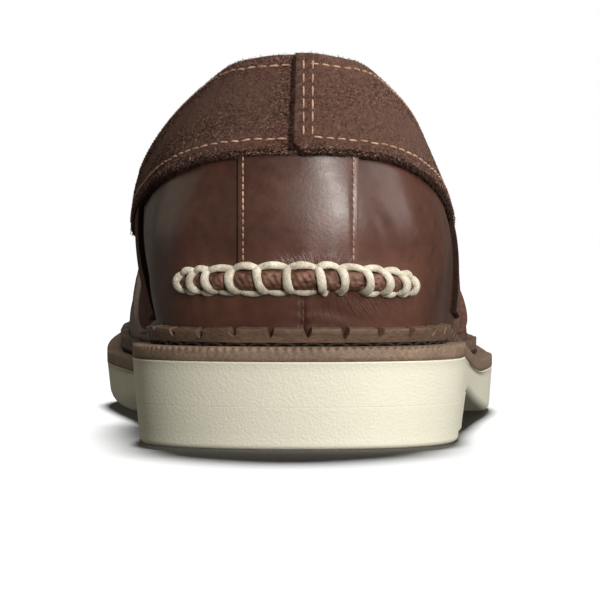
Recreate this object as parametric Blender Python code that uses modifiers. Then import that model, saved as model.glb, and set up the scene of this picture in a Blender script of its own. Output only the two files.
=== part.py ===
"""Venetian loafer for the right foot, built as a shoemaker would put it together.

Metres, +Z up, +Y towards the toe, +X towards the outer (lateral) side, floor at Z = 0.
Shapes are worked out with the heel's back at Y = 0, and every mesh is then moved so that
the origin is at the bottom centre of the sole.
"""

import math
from functools import lru_cache

import bmesh
import bpy
import numpy as np

# Sizes of the last and the sole
LENGTH = 0.303
BALL_WIDTH = 0.109
HEEL_WIDTH = 0.076
HEEL_HEIGHT = 0.0223
BALL_HEIGHT = 0.0155
TOE_SPRING = 0.0125
UPPER_HEIGHT = 0.0635
FULLNESS = 0.004

# Sole layers
HEEL_LIFT = 0.0093
MIDSOLE_THICK = 0.0032
SIDE_TAPER = 0.0008
BOTTOM_ROUNDING = 0.0021
MEDIAL_ROUNDING = 0.0055
INSOLE_THICK = 0.0036

# Upper and what is sewn to it
GAP = 0.0003
WALL = 0.0020
FLANGE = 0.0042
RAND_THICK = 0.0021
RAND_HEIGHT = 0.0041
NOTCH_PITCH = 0.0082
NOTCH_WIDTH = 0.0021
NOTCH_DEPTH = 0.0021
BAND_WIDTH = 0.0232
BAND_THICK = 0.0016
LAP_STEP = 0.0009
STAY_WIDTH = 0.0258
STAY_SHIFT = -0.0004
STAY_THICK = 0.0010
BEAD_HEIGHT = 0.0052
BEAD_RISE = 0.0024
BEAD_UP = 0.0146
BEAD_DROOP = (0.0007, 0.0017)
SEAM_WIDTH = 0.0042
SEAM_RISE = 0.0015

# Shares of LENGTH where the seat slopes, the arch lies and the toe spring starts
SEAT_SLOPE = (0.13, 0.47)
ARCH = (0.25, 0.605)
ROUNDING_FADE = (0.78, 0.97)
SPRING_START = 0.665
SPRING_CURVE = 1.25
BREAST_TOP = 3.86
BREAST_BOTTOM = 3.70

# The sole's edge, a row for each station from the heel's back to the toe's tip.
# `fore` is how far a width follows BALL_WIDTH instead of HEEL_WIDTH, and the two sides
# are shares of half that width.
EDGE_COLUMNS = ("along", "fore", "lateral", "medial")
EDGE = (
    (0.000, 0.00, 0.000, 0.000),
    (0.021, 0.00, 0.600, 0.615),
    (0.083, 0.00, 0.940, 0.965),
    (0.180, 0.00, 1.015, 1.000),
    (0.290, 0.20, 1.010, 0.930),
    (0.395, 0.45, 1.000, 0.920),
    (0.500, 0.75, 0.990, 0.925),
    (0.600, 1.00, 0.972, 0.945),
    (0.695, 1.00, 0.960, 1.010),
    (0.785, 1.00, 0.865, 1.005),
    (0.872, 1.00, 0.700, 0.895),
    (0.942, 1.00, 0.490, 0.710),
    (0.985, 1.00, 0.200, 0.460),
    (1.000, 1.00, -0.130, 0.130),
)

# How the wall leans out at its fullest line, as shares of FULLNESS, and that line's rise
# above the seat as a share of UPPER_HEIGHT.
GIRTH_COLUMNS = ("lateral", "medial", "rise")
GIRTH = (
    (0.62, 0.62, 0.21),
    (0.65, 0.62, 0.21),
    (0.55, 0.55, 0.21),
    (0.50, 0.82, 0.21),
    (0.65, 0.98, 0.19),
    (0.10, 1.00, 0.18),
    (-0.35, 0.48, 0.15),
    (-0.30, 0.05, 0.15),
    (0.08, -0.05, 0.16),
    (0.15, 0.12, 0.16),
    (0.27, 0.25, 0.16),
    (0.30, 0.28, 0.15),
    (0.35, 0.35, 0.14),
    (0.40, 0.40, 0.14),
)

# Three more lines of the last from heel to toe: shares of LENGTH along, of half the
# station's width to each side, and of UPPER_HEIGHT above the seat.
LINE_COLUMNS = ("along", "lateral", "medial", "rise")
SHOULDER = (
    (0.0100, 0.000, 0.000, 0.430),
    (0.0285, 0.570, 0.590, 0.430),
    (0.0860, 0.830, 0.863, 0.430),
    (0.1780, 0.915, 0.953, 0.415),
    (0.2870, 0.890, 0.932, 0.418),
    (0.3880, 0.812, 0.905, 0.400),
    (0.4850, 0.755, 0.825, 0.420),
    (0.5780, 0.690, 0.745, 0.435),
    (0.6630, 0.668, 0.758, 0.456),
    (0.7450, 0.605, 0.730, 0.454),
    (0.8150, 0.480, 0.640, 0.420),
    (0.8740, 0.320, 0.500, 0.380),
    (0.9080, 0.115, 0.325, 0.346),
    (0.9210, -0.105, 0.105, 0.334),
)
CROWN = (
    (0.0185, 0.000, 0.000, 0.720),
    (0.0340, 0.437, 0.463, 0.715),
    (0.0840, 0.658, 0.710, 0.700),
    (0.1730, 0.771, 0.855, 0.660),
    (0.2790, 0.776, 0.918, 0.626),
    (0.3780, 0.756, 0.893, 0.584),
    (0.4620, 0.712, 0.803, 0.643),
    (0.5300, 0.606, 0.675, 0.722),
    (0.5820, 0.440, 0.541, 0.757),
    (0.6290, 0.303, 0.422, 0.768),
    (0.6620, 0.193, 0.312, 0.746),
    (0.6830, 0.100, 0.220, 0.724),
    (0.6970, 0.010, 0.136, 0.710),
    (0.7020, -0.073, 0.073, 0.704),
)
TOPLINE = (
    (0.0310, 0.000, 0.000, 1.000),
    (0.0410, 0.265, 0.290, 0.982),
    (0.0810, 0.415, 0.455, 0.935),
    (0.1650, 0.595, 0.660, 0.866),
    (0.2650, 0.680, 0.790, 0.800),
    (0.3600, 0.707, 0.833, 0.757),
    (0.4320, 0.595, 0.695, 0.830),
    (0.4770, 0.404, 0.505, 0.950),
    (0.5030, 0.240, 0.350, 1.025),
    (0.5130, 0.130, 0.240, 1.052),
    (0.5155, 0.060, 0.170, 1.060),
    (0.5165, 0.010, 0.120, 1.063),
    (0.5170, -0.025, 0.085, 1.064),
    (0.5170, -0.055, 0.055, 1.064),
)

# Width of the collar band at each station, as shares of BAND_WIDTH.
BAND_COLUMNS = ("lateral", "medial")
BAND = (
    (0.97, 0.97),
    (1.02, 1.02),
    (1.19, 1.15),
    (1.16, 1.03),
    (1.04, 0.88),
    (0.92, 0.84),
    (0.80, 0.77),
    (0.70, 0.70),
    (0.66, 0.66),
    (0.65, 0.65),
    (0.65, 0.65),
    (0.65, 0.65),
    (0.65, 0.65),
    (0.65, 0.65),
)

LAST_STATION = len(EDGE) - 1
AROUND = 2 * LAST_STATION
SHELL_COLUMNS = 72
WALL_ROWS = (0, 0.5, 1, 1.35, 1.7, 2)
VAMP_ROWS = (0.25, 0.5, 0.75)
BAND_ROWS = (1.0, 0.66, 0.33, 0.0)
SOLE_STEPS = 38
HEEL_STEPS = 14
STAY_GRID = (9, 6)
BEAD_ENDS = (-1.40, 1.33)
SEAM_START = 5.6
SEAM_CLIMB = 3.5
LAP_STATION = -0.08
LAP_FADE = (0.2, 0.6)
LAP_EDGE = 0.012

# How the skin of the last is curved and measured
CHORD_POWER = 0.6
FINE_LINES = 81
NORMAL_STEP = 0.03
TANGENT_STEP = 0.02

# Where the first notch is, as a share of the pitch, and where the bottom edge is rounded:
# shares of the rounding's radius inwards and upwards.
NOTCH_START = 0.2
SOLE_ROUNDING = ((1.0, 0.0), (0.35, 0.32), (0.0, 1.1))
LIFT_ROUNDING = ((1.0, 0.0), (0.0, 0.8))

# Sections of the bead and of the apron seam: shares of their width and of their rise.
BEAD_SECTION = ((-0.5, 0.15), (-0.3, 0.75), (0.0, 1.0), (0.3, 0.75), (0.5, 0.15))
SEAM_SECTION = ((-0.5, 0.2), (-0.25, 0.85), (0.1, 1.0), (0.5, 0.3))
BEAD_COLUMNS = 25
BEAD_BLUNTNESS = 0.22
BEAD_END_SHARE = 0.45
SEAM_COLUMNS = 57
SEAM_LINES = (0.7, 2.0)
SEAM_END_SHARE = 0.3


def mix(low, high, share):
    return low + (high - low) * share


def smooth(value, start, end):
    """0 before start, 1 after end, and an easy curve between them."""
    share = min(max((value - start) / (end - start), 0.0), 1.0)
    return share * share * (3 - 2 * share)


def spring(along):
    past = max(along - SPRING_START, 0.0) / (1 - SPRING_START)
    return TOE_SPRING * past**SPRING_CURVE


def seat_height(y):
    """Top of the midsole above the floor, where the upper is lasted on."""
    along = y / LENGTH
    return mix(HEEL_HEIGHT, BALL_HEIGHT, smooth(along, *SEAT_SLOPE)) + spring(along)


def underside(y):
    """Underside of the full-length outsole above the floor."""
    along = y / LENGTH
    return HEEL_LIFT * (1 - smooth(along, *ARCH)) + spring(along)


def around(lateral_rows, medial_rows):
    """Rows of both sides in one loop: heel, lateral side, toe, medial side."""
    return list(lateral_rows) + list(medial_rows)[-2:0:-1]


def closed_spline(points):
    """A smooth closed curve through the points, one unit of its parameter for each."""
    points = np.array(points, float)
    count = len(points)
    unit = np.eye(count)
    system = 4 * unit + np.roll(unit, 1, axis=0) + np.roll(unit, -1, axis=0)
    control = np.linalg.solve(system, 6 * points)

    @lru_cache(maxsize=None)
    def curve(station):
        whole = math.floor(station)
        f = station - whole
        a, b, c, d = (control[(whole + k) % count] for k in (-1, 0, 1, 2))
        weights = (
            (1 - f) ** 3,
            3 * f**3 - 6 * f**2 + 4,
            -3 * f**3 + 3 * f**2 + 3 * f + 1,
            f**3,
        )
        return (weights[0] * a + weights[1] * b + weights[2] * c + weights[3] * d) / 6

    return curve


def half_width(station_row):
    return mix(HEEL_WIDTH, BALL_WIDTH, station_row[EDGE_COLUMNS.index("fore")]) / 2


def edge_rows(side):
    column = EDGE_COLUMNS.index(side)
    sign = 1 if side == "lateral" else -1
    return [(sign * row[column] * half_width(row), row[0] * LENGTH) for row in EDGE]


def line_rows(table, side):
    column = LINE_COLUMNS.index(side)
    sign = 1 if side == "lateral" else -1
    rows = []
    for row, station in zip(table, EDGE):
        y = row[0] * LENGTH
        z = seat_height(y) + row[3] * UPPER_HEIGHT
        rows.append((sign * row[column] * half_width(station), y, z))
    return rows


def table_loop(table, columns):
    """A closed curve of plain shares, with one value for each named column."""
    lateral = [[row[0]] + list(row[2:]) for row in table]
    medial = [[row[1]] + list(row[2:]) for row in table]
    assert columns[:2] == ("lateral", "medial")
    return closed_spline(around(lateral, medial))


sole_edge = closed_spline(around(edge_rows("lateral"), edge_rows("medial")))
girth_shares = table_loop(GIRTH, GIRTH_COLUMNS)
band_shares = table_loop(BAND, BAND_COLUMNS)
shoulder_line, crown_line, topline = (
    closed_spline(around(line_rows(table, "lateral"), line_rows(table, "medial")))
    for table in (SHOULDER, CROWN, TOPLINE)
)


def edge_point(station, inset):
    """A point of the sole's edge, moved inwards square to the edge."""
    x, y = sole_edge(station)
    tangent = sole_edge(station + TANGENT_STEP) - sole_edge(station - TANGENT_STEP)
    tangent = tangent / np.hypot(*tangent)
    return np.array((x - inset * tangent[1], y + inset * tangent[0]))


FOOT_INSET = FLANGE + RAND_THICK + GAP


@lru_cache(maxsize=None)
def wall_lines(station):
    """The upper's section at a station: its points on the five lines of the last."""
    foot = edge_point(station, FOOT_INSET)
    share, rise = girth_shares(station)
    girth = edge_point(station, FOOT_INSET - share * FULLNESS)
    foot_z = seat_height(foot[1]) + GAP
    girth_z = seat_height(girth[1]) + rise * UPPER_HEIGHT
    points = (
        (*foot, foot_z),
        (*girth, girth_z),
        shoulder_line(station),
        crown_line(station),
        topline(station),
    )
    points = np.array(points)
    chords = np.linalg.norm(np.diff(points, axis=0), axis=1) ** CHORD_POWER
    slopes = np.diff(points, axis=0) / chords[:, None]
    tangents = np.zeros_like(points)
    for i in range(1, len(points) - 1):
        before, after = chords[i - 1], chords[i]
        blend = slopes[i - 1] * after + slopes[i] * before
        tangents[i] = blend / (before + after)
    tangents[0] = (3 * slopes[0] - tangents[1]) / 2
    tangents[-1] = (3 * slopes[-1] - tangents[-2]) / 2
    return points, chords, tangents


@lru_cache(maxsize=None)
def surface(station, line):
    """The upper's outer face: line 0 is at the sole, 4 at the collar's edge."""
    points, chords, tangents = wall_lines(station)
    i = min(max(int(math.floor(line)), 0), len(points) - 2)
    f = line - i
    h = chords[i]
    start = (2 * f**3 - 3 * f**2 + 1) * points[i] + (f**3 - 2 * f**2 + f) * h * tangents[i]
    end = (3 * f**2 - 2 * f**3) * points[i + 1] + (f**3 - f**2) * h * tangents[i + 1]
    return start + end


@lru_cache(maxsize=None)
def outward(station, line):
    """The direction square to the upper's outer face."""
    below = max(line - NORMAL_STEP, 0.0)
    above = min(line + NORMAL_STEP, 4.0)
    along = surface(station + NORMAL_STEP, line) - surface(station - NORMAL_STEP, line)
    up = surface(station, above) - surface(station, below)
    normal = np.cross(along, up)
    return normal / np.linalg.norm(normal)


def lifted(station, line, height):
    return surface(station, line) + height * outward(station, line)


@lru_cache(maxsize=None)
def girths(station):
    """Distances up the wall from the sole, for a fine row of lines."""
    lines = np.linspace(0, 4, FINE_LINES)
    points = np.array([surface(station, float(line)) for line in lines])
    steps = np.linalg.norm(np.diff(points, axis=0), axis=1)
    return lines, np.concatenate(((0,), np.cumsum(steps)))


def line_at(station, up):
    """The line that lies a distance up the wall from the sole."""
    lines, distances = girths(station)
    return float(np.interp(up, distances, lines))


def line_below_top(station, down):
    lines, distances = girths(station)
    return float(np.interp(distances[-1] - down, distances, lines))


def band_width(station):
    return float(band_shares(station)[0]) * BAND_WIDTH


def band_lines(station):
    """Lines of the upper's face under the collar band, from its lower edge to the top."""
    width = band_width(station)
    return [line_below_top(station, share * width) for share in BAND_ROWS]


def shell_lines(station):
    """Lines of the shell's rows: the wall, then up to the collar band, then under it."""
    under_band = band_lines(station)
    vamp = [mix(WALL_ROWS[-1], under_band[0], share) for share in VAMP_ROWS]
    return list(WALL_ROWS) + vamp + under_band


@lru_cache(maxsize=None)
def centre():
    """The middle of the sole's outline, which becomes the origin."""
    fine = np.array([sole_edge(float(s)) for s in np.linspace(0, AROUND, 2081)])
    return (fine.min(axis=0) + fine.max(axis=0)) / 2


def material(name, colour, roughness):
    made = bpy.data.materials.new(name)
    made.use_nodes = True
    shader = made.node_tree.nodes["Principled BSDF"]
    shader.inputs["Base Color"].default_value = (*colour, 1)
    shader.inputs["Roughness"].default_value = roughness
    shader.inputs["Metallic"].default_value = 0.0
    return made


def piece(name, points, faces, finish):
    """Makes one named object from points and faces, welded and facing outwards."""
    shift = np.array((*centre(), 0.0))
    mesh = bpy.data.meshes.new(name)
    mesh.from_pydata([tuple(np.asarray(p) - shift) for p in points], [], faces)
    work = bmesh.new()
    work.from_mesh(mesh)
    bmesh.ops.remove_doubles(work, verts=work.verts, dist=0.00001)
    bmesh.ops.dissolve_degenerate(work, edges=work.edges, dist=0.00001)
    bmesh.ops.recalc_face_normals(work, faces=work.faces)
    work.to_mesh(mesh)
    work.free()
    mesh.shade_smooth()
    mesh.set_sharp_from_angle(angle=math.radians(40))
    mesh.materials.append(finish)
    made = bpy.data.objects.new(name, mesh)
    shoe.objects.link(made)
    return made


def layer(name, levels, finish):
    """A sole layer between levels, each one (lateral points, medial points), bottom first."""
    rings = [list(lateral) + list(medial)[::-1] for lateral, medial in levels]
    steps = len(levels[0][0])
    count = len(rings[0])
    points = [point for ring in rings for point in ring]
    faces = []
    for level in range(len(rings) - 1):
        low = level * count
        for i in range(count):
            j = (i + 1) % count
            faces.append((low + i, low + j, low + count + j, low + count + i))
    for low in (0, (len(rings) - 1) * count):
        for i in range(steps - 1):
            opposite = count - 1 - i
            faces.append((low + i, low + i + 1, low + opposite - 1, low + opposite))
    return piece(name, points, faces, finish)


def bottom_rounding(station, y):
    """Radius of the outsole's lower edge, which is greater along the inner side of the ball."""
    if station > 0:
        return BOTTOM_ROUNDING
    along = y / LENGTH
    share = smooth(along, ARCH[0], ARCH[1]) * (1 - smooth(along, ROUNDING_FADE[0], ROUNDING_FADE[1]))
    return mix(BOTTOM_ROUNDING, MEDIAL_ROUNDING, share)


def level(inset, height, last=LAST_STATION, steps=SOLE_STEPS, lift=0.0, rounds=(0.0, 0.0)):
    """One level of a sole layer, with its height worked out from each point's place.

    rounds gives the shares of the bottom edge's rounding by which it lies further in and up.
    """
    sides = []
    for sign in (1, -1):
        side = []
        for step in range(steps + 1):
            station = sign * last * step / steps
            radius = bottom_rounding(station, edge_point(station, inset)[1])
            x, y = edge_point(station, inset + rounds[0] * radius)
            side.append((x, y, height(y) + lift + rounds[1] * radius))
        sides.append(side)
    return sides


def strip(name, stations, rows, finish, closed):
    """A solid that follows the upper's face.

    rows(station) gives, for each row, the line on the face and its inner and outer height.
    """
    inner, outer = [], []
    for station in stations:
        for line, low, high in rows(station):
            inner.append(lifted(station, line, low))
            outer.append(lifted(station, line, high))
    return skin(name, inner, outer, len(stations), finish, closed)


def skin(name, inner, outer, columns, finish, closed):
    """The solid between two grids of points that have the same rows and columns."""
    rows = len(inner) // columns
    shift = len(inner)
    faces = []
    for c in range(columns if closed else columns - 1):
        near = c * rows
        far = ((c + 1) % columns) * rows
        for r in range(rows - 1):
            faces.append((near + r, far + r, far + r + 1, near + r + 1))
            faces.append(tuple(shift + i for i in faces[-1])[::-1])
        for r in (0, rows - 1):
            faces.append((near + r, far + r, shift + far + r, shift + near + r))
    if not closed:
        for first in (0, (columns - 1) * rows):
            for r in range(first, first + rows - 1):
                faces.append((r, r + 1, shift + r + 1, shift + r))
    return piece(name, inner + outer, faces, finish)


def stations_between(start, end, count):
    return [mix(start, end, i / (count - 1)) for i in range(count)]


def make_outsole():
    """Full-length cream layer with a tapered side and a rounded bottom edge."""

    def top(y):
        return seat_height(y) - MIDSOLE_THICK - GAP

    levels = [level(SIDE_TAPER, underside, rounds=rounds) for rounds in SOLE_ROUNDING]
    levels.append(level(0.0, top))
    return layer("outsole", levels, cream)


def make_heel_lift():
    """Cream block under the heel, flat below and slanted at its breast."""

    def floor(y):
        return 0.0

    def top(y):
        return underside(y) - GAP

    levels = [
        level(2 * SIDE_TAPER, floor, BREAST_BOTTOM, HEEL_STEPS, rounds=rounds)
        for rounds in LIFT_ROUNDING
    ]
    levels.append(level(SIDE_TAPER, top, BREAST_TOP, HEEL_STEPS))
    return layer("heel_lift", levels, cream)


def make_midsole():
    """Brown strip that the upper stands on; its edge is the flange round the shoe."""

    def bottom(y):
        return seat_height(y) - MIDSOLE_THICK

    return layer("midsole", (level(0.0, bottom), level(0.0, seat_height)), strip_brown)


def make_insole():
    inset = FOOT_INSET + WALL + 3 * GAP
    levels = (level(inset, seat_height, lift=GAP), level(inset, seat_height, lift=INSOLE_THICK))
    return layer("insole", levels, lining_tan)


def make_upper():
    """One hollow shell, open at the collar and below, with the wall on the inside."""
    points, faces = [], []
    rows = len(shell_lines(0.0))
    for c in range(SHELL_COLUMNS):
        station = AROUND * c / SHELL_COLUMNS
        points += [surface(station, line) for line in shell_lines(station)]
        near = c * rows
        far = ((c + 1) % SHELL_COLUMNS) * rows
        faces += [(near + r, far + r, far + r + 1, near + r + 1) for r in range(rows - 1)]
    shell = piece("upper", points, faces, leather)
    wall = shell.modifiers.new("wall", "SOLIDIFY")
    wall.thickness = WALL
    wall.offset = -1
    wall.use_even_offset = True
    return shell


def rand_stations():
    """Stations of the rand's columns: three to a notch, and each column's notch depth."""
    fine = np.linspace(0, AROUND, 1041)
    path = np.array([edge_point(float(s), FLANGE) for s in fine])
    run = np.concatenate(((0,), np.cumsum(np.linalg.norm(np.diff(path, axis=0), axis=1))))
    count = round(run[-1] / NOTCH_PITCH)
    pitch = run[-1] / count
    columns = []
    for notch in range(count):
        middle = (notch + NOTCH_START) * pitch
        for shift, depth in ((-0.5, 0.0), (0.0, 1.0), (0.5, 0.0)):
            station = float(np.interp(middle + shift * NOTCH_WIDTH, run, fine))
            columns.append((station, depth * NOTCH_DEPTH))
    return columns


def make_rand():
    """Brown strip that stands on the flange against the upper, notched along its top."""
    inner, outer = [], []
    columns = rand_stations()
    for station, notch in columns:
        for up in (0.0, RAND_HEIGHT - notch):
            line = line_at(station, up)
            for height, side in ((GAP, inner), (GAP + RAND_THICK, outer)):
                point = lifted(station, line, height)
                if up == 0:
                    point[2] = seat_height(point[1]) + GAP
                side.append(point)
    return skin("rand", inner, outer, len(columns), strip_brown, True)


def make_collar_band():
    """Suede band round the opening, with a step at the centre back where its ends lap."""
    plain = [AROUND * c / SHELL_COLUMNS for c in range(SHELL_COLUMNS)]
    edge = LAP_STATION + AROUND
    stations = sorted(plain + [edge - LAP_EDGE, edge + LAP_EDGE])

    def rows(station):
        past = station - edge if station > AROUND / 2 else station - LAP_STATION
        lap = LAP_STEP * (1 - smooth(past, *LAP_FADE)) if past > 0 else 0.0
        high = GAP + BAND_THICK + lap
        return [(line, GAP, high) for line in band_lines(station)]

    return strip("collar_band", stations, rows, suede, True)


def stay_place(x, share):
    """The station and line, x to the side of the heel and a share up from bead to band."""
    stations = np.linspace(-1, 1, 21)
    places = []
    for station in stations:
        low = BEAD_UP + BEAD_HEIGHT / 2 + GAP
        high = girths(float(station))[1][-1] - band_width(float(station)) - 2 * GAP
        line = line_at(float(station), mix(low, high, share))
        places.append((surface(float(station), line)[0], line))
    widths, lines = zip(*places)
    return float(np.interp(x, widths, stations)), float(np.interp(x, widths, lines))


def make_heel_stay():
    """Leather strip of even width over the back seam, from the bead to the collar band."""
    inner, outer = [], []
    start, end = STAY_SHIFT - STAY_WIDTH / 2, STAY_SHIFT + STAY_WIDTH / 2
    for x in stations_between(start, end, STAY_GRID[0]):
        for share in stations_between(0, 1, STAY_GRID[1]):
            station, line = stay_place(x, share)
            inner.append(lifted(station, line, GAP))
            outer.append(lifted(station, line, GAP + STAY_THICK))
    return skin("heel_stay", inner, outer, STAY_GRID[0], leather, False)


def make_heel_bead():
    """Raised roll of leather across the heel, lower and thinner at its ends."""
    start, end = BEAD_ENDS

    def rows(station):
        share = min(max((station - start) / (end - start), 0.0), 1.0)
        taper = max(max(math.sin(math.pi * share), 0.0) ** BEAD_BLUNTNESS, BEAD_END_SHARE)
        droop = mix(*BEAD_DROOP, share) * (2 * share - 1) ** 2
        found = []
        for place, rise in BEAD_SECTION:
            line = line_at(station, BEAD_UP - droop + place * BEAD_HEIGHT * taper)
            found.append((line, GAP, GAP + rise * taper * BEAD_RISE))
        return found

    return strip("heel_bead", stations_between(start, end, BEAD_COLUMNS), rows, leather, False)


def seam_line(station):
    """The moccasin seam: on the shoulder round the toe, down to the sole at the waist."""
    from_heel = min(station, AROUND - station)
    return mix(*SEAM_LINES, smooth(from_heel, SEAM_START, SEAM_START + SEAM_CLIMB))


def make_apron_seam():
    def rows(station):
        middle = float(np.interp(seam_line(station), *girths(station)))
        ends = min(station - SEAM_START, AROUND - SEAM_START - station)
        taper = mix(SEAM_END_SHARE, 1.0, smooth(ends, 0.0, SEAM_CLIMB))
        found = []
        for place, rise in SEAM_SECTION:
            line = line_at(station, middle + place * SEAM_WIDTH * taper)
            found.append((line, GAP, GAP + rise * taper * SEAM_RISE))
        return found

    stations = stations_between(SEAM_START, AROUND - SEAM_START, SEAM_COLUMNS)
    return strip("apron_seam", stations, rows, leather, False)


for old in list(bpy.data.objects):
    bpy.data.objects.remove(old, do_unlink=True)
shoe = bpy.data.collections.new("venetian_loafer")
bpy.context.scene.collection.children.link(shoe)

cream = material("cream_foam", (0.74, 0.70, 0.56), 0.75)
strip_brown = material("strip_brown", (0.17, 0.10, 0.065), 0.6)
leather = material("smooth_leather", (0.12, 0.05, 0.03), 0.45)
suede = material("suede", (0.075, 0.035, 0.026), 0.95)
lining_tan = material("lining_tan", (0.35, 0.2, 0.11), 0.8)

make_outsole()
make_heel_lift()
make_midsole()
make_insole()
make_upper()
make_rand()
make_collar_band()
make_heel_stay()
make_heel_bead()
make_apron_seam()
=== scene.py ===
"""Looks of the venetian loafer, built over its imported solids.

Metres, +Z up, +Y towards the toe, +X towards the outer side of the right foot. The last's
surface is worked out again here from the sizes and tables of the part's source, with the
heel's back at Y = 0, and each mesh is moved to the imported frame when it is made.
"""

import math

import bmesh
import bpy
import numpy as np
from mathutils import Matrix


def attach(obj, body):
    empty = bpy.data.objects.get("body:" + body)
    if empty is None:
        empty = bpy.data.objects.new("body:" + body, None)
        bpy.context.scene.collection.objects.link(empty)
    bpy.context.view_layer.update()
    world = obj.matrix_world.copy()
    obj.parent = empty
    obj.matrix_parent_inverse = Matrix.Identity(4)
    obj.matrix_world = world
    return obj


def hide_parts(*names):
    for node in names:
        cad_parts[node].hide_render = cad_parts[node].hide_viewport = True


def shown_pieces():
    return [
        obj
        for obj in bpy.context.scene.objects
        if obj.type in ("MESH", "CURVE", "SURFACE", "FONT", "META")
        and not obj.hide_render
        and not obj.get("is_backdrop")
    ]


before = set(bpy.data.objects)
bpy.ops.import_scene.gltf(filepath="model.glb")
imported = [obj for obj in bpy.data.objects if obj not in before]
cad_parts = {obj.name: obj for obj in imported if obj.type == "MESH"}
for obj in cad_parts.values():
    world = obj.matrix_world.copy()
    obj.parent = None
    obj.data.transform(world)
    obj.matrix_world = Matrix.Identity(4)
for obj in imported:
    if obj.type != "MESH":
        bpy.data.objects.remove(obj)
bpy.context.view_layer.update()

MM = 0.001

# Sizes of the last and the sole, as in the part's source
LENGTH = 0.303
BALL_WIDTH = 0.109
HEEL_WIDTH = 0.076
HEEL_HEIGHT = 0.0223
BALL_HEIGHT = 0.0155
TOE_SPRING = 0.0125
UPPER_HEIGHT = 0.0635
FULLNESS = 0.004
HEEL_LIFT = 0.0093
MIDSOLE_THICK = 0.0032
SIDE_TAPER = 0.0008
BOTTOM_ROUNDING = 0.0021
MEDIAL_ROUNDING = 0.0055
GAP = 0.0003
WALL = 0.0020
FLANGE = 0.0042
RAND_THICK = 0.0021
RAND_HEIGHT = 0.0041
NOTCH_PITCH = 0.0082
NOTCH_WIDTH = 0.0021
NOTCH_DEPTH = 0.0021
NOTCH_START = 0.2
BAND_WIDTH = 0.0232
LAP_STEP = 0.0009
STAY_WIDTH = 0.0258
STAY_SHIFT = -0.0004
BEAD_HEIGHT = 0.0052
BEAD_RISE = 0.0024
BEAD_UP = 0.0146
BEAD_DROOP = (0.0007, 0.0017)
SEAM_WIDTH = 0.0042
SEAM_RISE = 0.0015
SEAT_SLOPE = (0.13, 0.47)
ARCH = (0.25, 0.605)
ROUNDING_FADE = (0.78, 0.97)
SPRING_START = 0.665
SPRING_CURVE = 1.25
BREAST_TOP = 3.86
BREAST_BOTTOM = 3.70
BEAD_ENDS = (-1.40, 1.33)
SEAM_START = 5.6
SEAM_CLIMB = 3.5
SEAM_LINES = (0.7, 2.0)
LAP_STATION = -0.08
CHORD_POWER = 0.6
FINE_LINES = 81
FOOT_INSET = FLANGE + RAND_THICK + GAP

# Sizes of the looks alone
GATHER_PITCH = 0.0056
GATHERS_AFTER = 1.8
SEWN_AFTER = 2.6
STAY_STITCH_INSET = 0.00115
BAND_FACE = 0.00188
SHARP_ANGLE = math.radians(35)

# The photo's view: its middle column and focal length in pixels, how far the camera stands
# behind the heel and above the floor, and how many pixels it looks down by
VIEW_CENTRE = 300
VIEW_FOCAL = 3000.0
VIEW_BACK = 0.646
VIEW_UP = 0.040
VIEW_DIP = 35.0

# The sole's edge, a row for each station from heel to toe: how far along, how much of the
# ball's width rather than the heel's, and the half widths on the outer and inner side.
EDGE = (
    (0.000, 0.00, 0.000, 0.000),
    (0.021, 0.00, 0.600, 0.615),
    (0.083, 0.00, 0.940, 0.965),
    (0.180, 0.00, 1.015, 1.000),
    (0.290, 0.20, 1.010, 0.930),
    (0.395, 0.45, 1.000, 0.920),
    (0.500, 0.75, 0.990, 0.925),
    (0.600, 1.00, 0.972, 0.945),
    (0.695, 1.00, 0.960, 1.010),
    (0.785, 1.00, 0.865, 1.005),
    (0.872, 1.00, 0.700, 0.895),
    (0.942, 1.00, 0.490, 0.710),
    (0.985, 1.00, 0.200, 0.460),
    (1.000, 1.00, -0.130, 0.130),
)
# The wall's fullest line: how far it stands out on either side, and its rise.
GIRTH = (
    (0.62, 0.62, 0.21),
    (0.65, 0.62, 0.21),
    (0.55, 0.55, 0.21),
    (0.50, 0.82, 0.21),
    (0.65, 0.98, 0.19),
    (0.10, 1.00, 0.18),
    (-0.35, 0.48, 0.15),
    (-0.30, 0.05, 0.15),
    (0.08, -0.05, 0.16),
    (0.15, 0.12, 0.16),
    (0.27, 0.25, 0.16),
    (0.30, 0.28, 0.15),
    (0.35, 0.35, 0.14),
    (0.40, 0.40, 0.14),
)

# Three lines of the last: how far along, the half widths on either side, and the rise.
SHOULDER = (
    (0.0100, 0.000, 0.000, 0.430),
    (0.0285, 0.570, 0.590, 0.430),
    (0.0860, 0.830, 0.863, 0.430),
    (0.1780, 0.915, 0.953, 0.415),
    (0.2870, 0.890, 0.932, 0.418),
    (0.3880, 0.812, 0.905, 0.400),
    (0.4850, 0.755, 0.825, 0.420),
    (0.5780, 0.690, 0.745, 0.435),
    (0.6630, 0.668, 0.758, 0.456),
    (0.7450, 0.605, 0.730, 0.454),
    (0.8150, 0.480, 0.640, 0.420),
    (0.8740, 0.320, 0.500, 0.380),
    (0.9080, 0.115, 0.325, 0.346),
    (0.9210, -0.105, 0.105, 0.334),
)
CROWN = (
    (0.0185, 0.000, 0.000, 0.720),
    (0.0340, 0.437, 0.463, 0.715),
    (0.0840, 0.658, 0.710, 0.700),
    (0.1730, 0.771, 0.855, 0.660),
    (0.2790, 0.776, 0.918, 0.626),
    (0.3780, 0.756, 0.893, 0.584),
    (0.4620, 0.712, 0.803, 0.643),
    (0.5300, 0.606, 0.675, 0.722),
    (0.5820, 0.440, 0.541, 0.757),
    (0.6290, 0.303, 0.422, 0.768),
    (0.6620, 0.193, 0.312, 0.746),
    (0.6830, 0.100, 0.220, 0.724),
    (0.6970, 0.010, 0.136, 0.710),
    (0.7020, -0.073, 0.073, 0.704),
)
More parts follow.
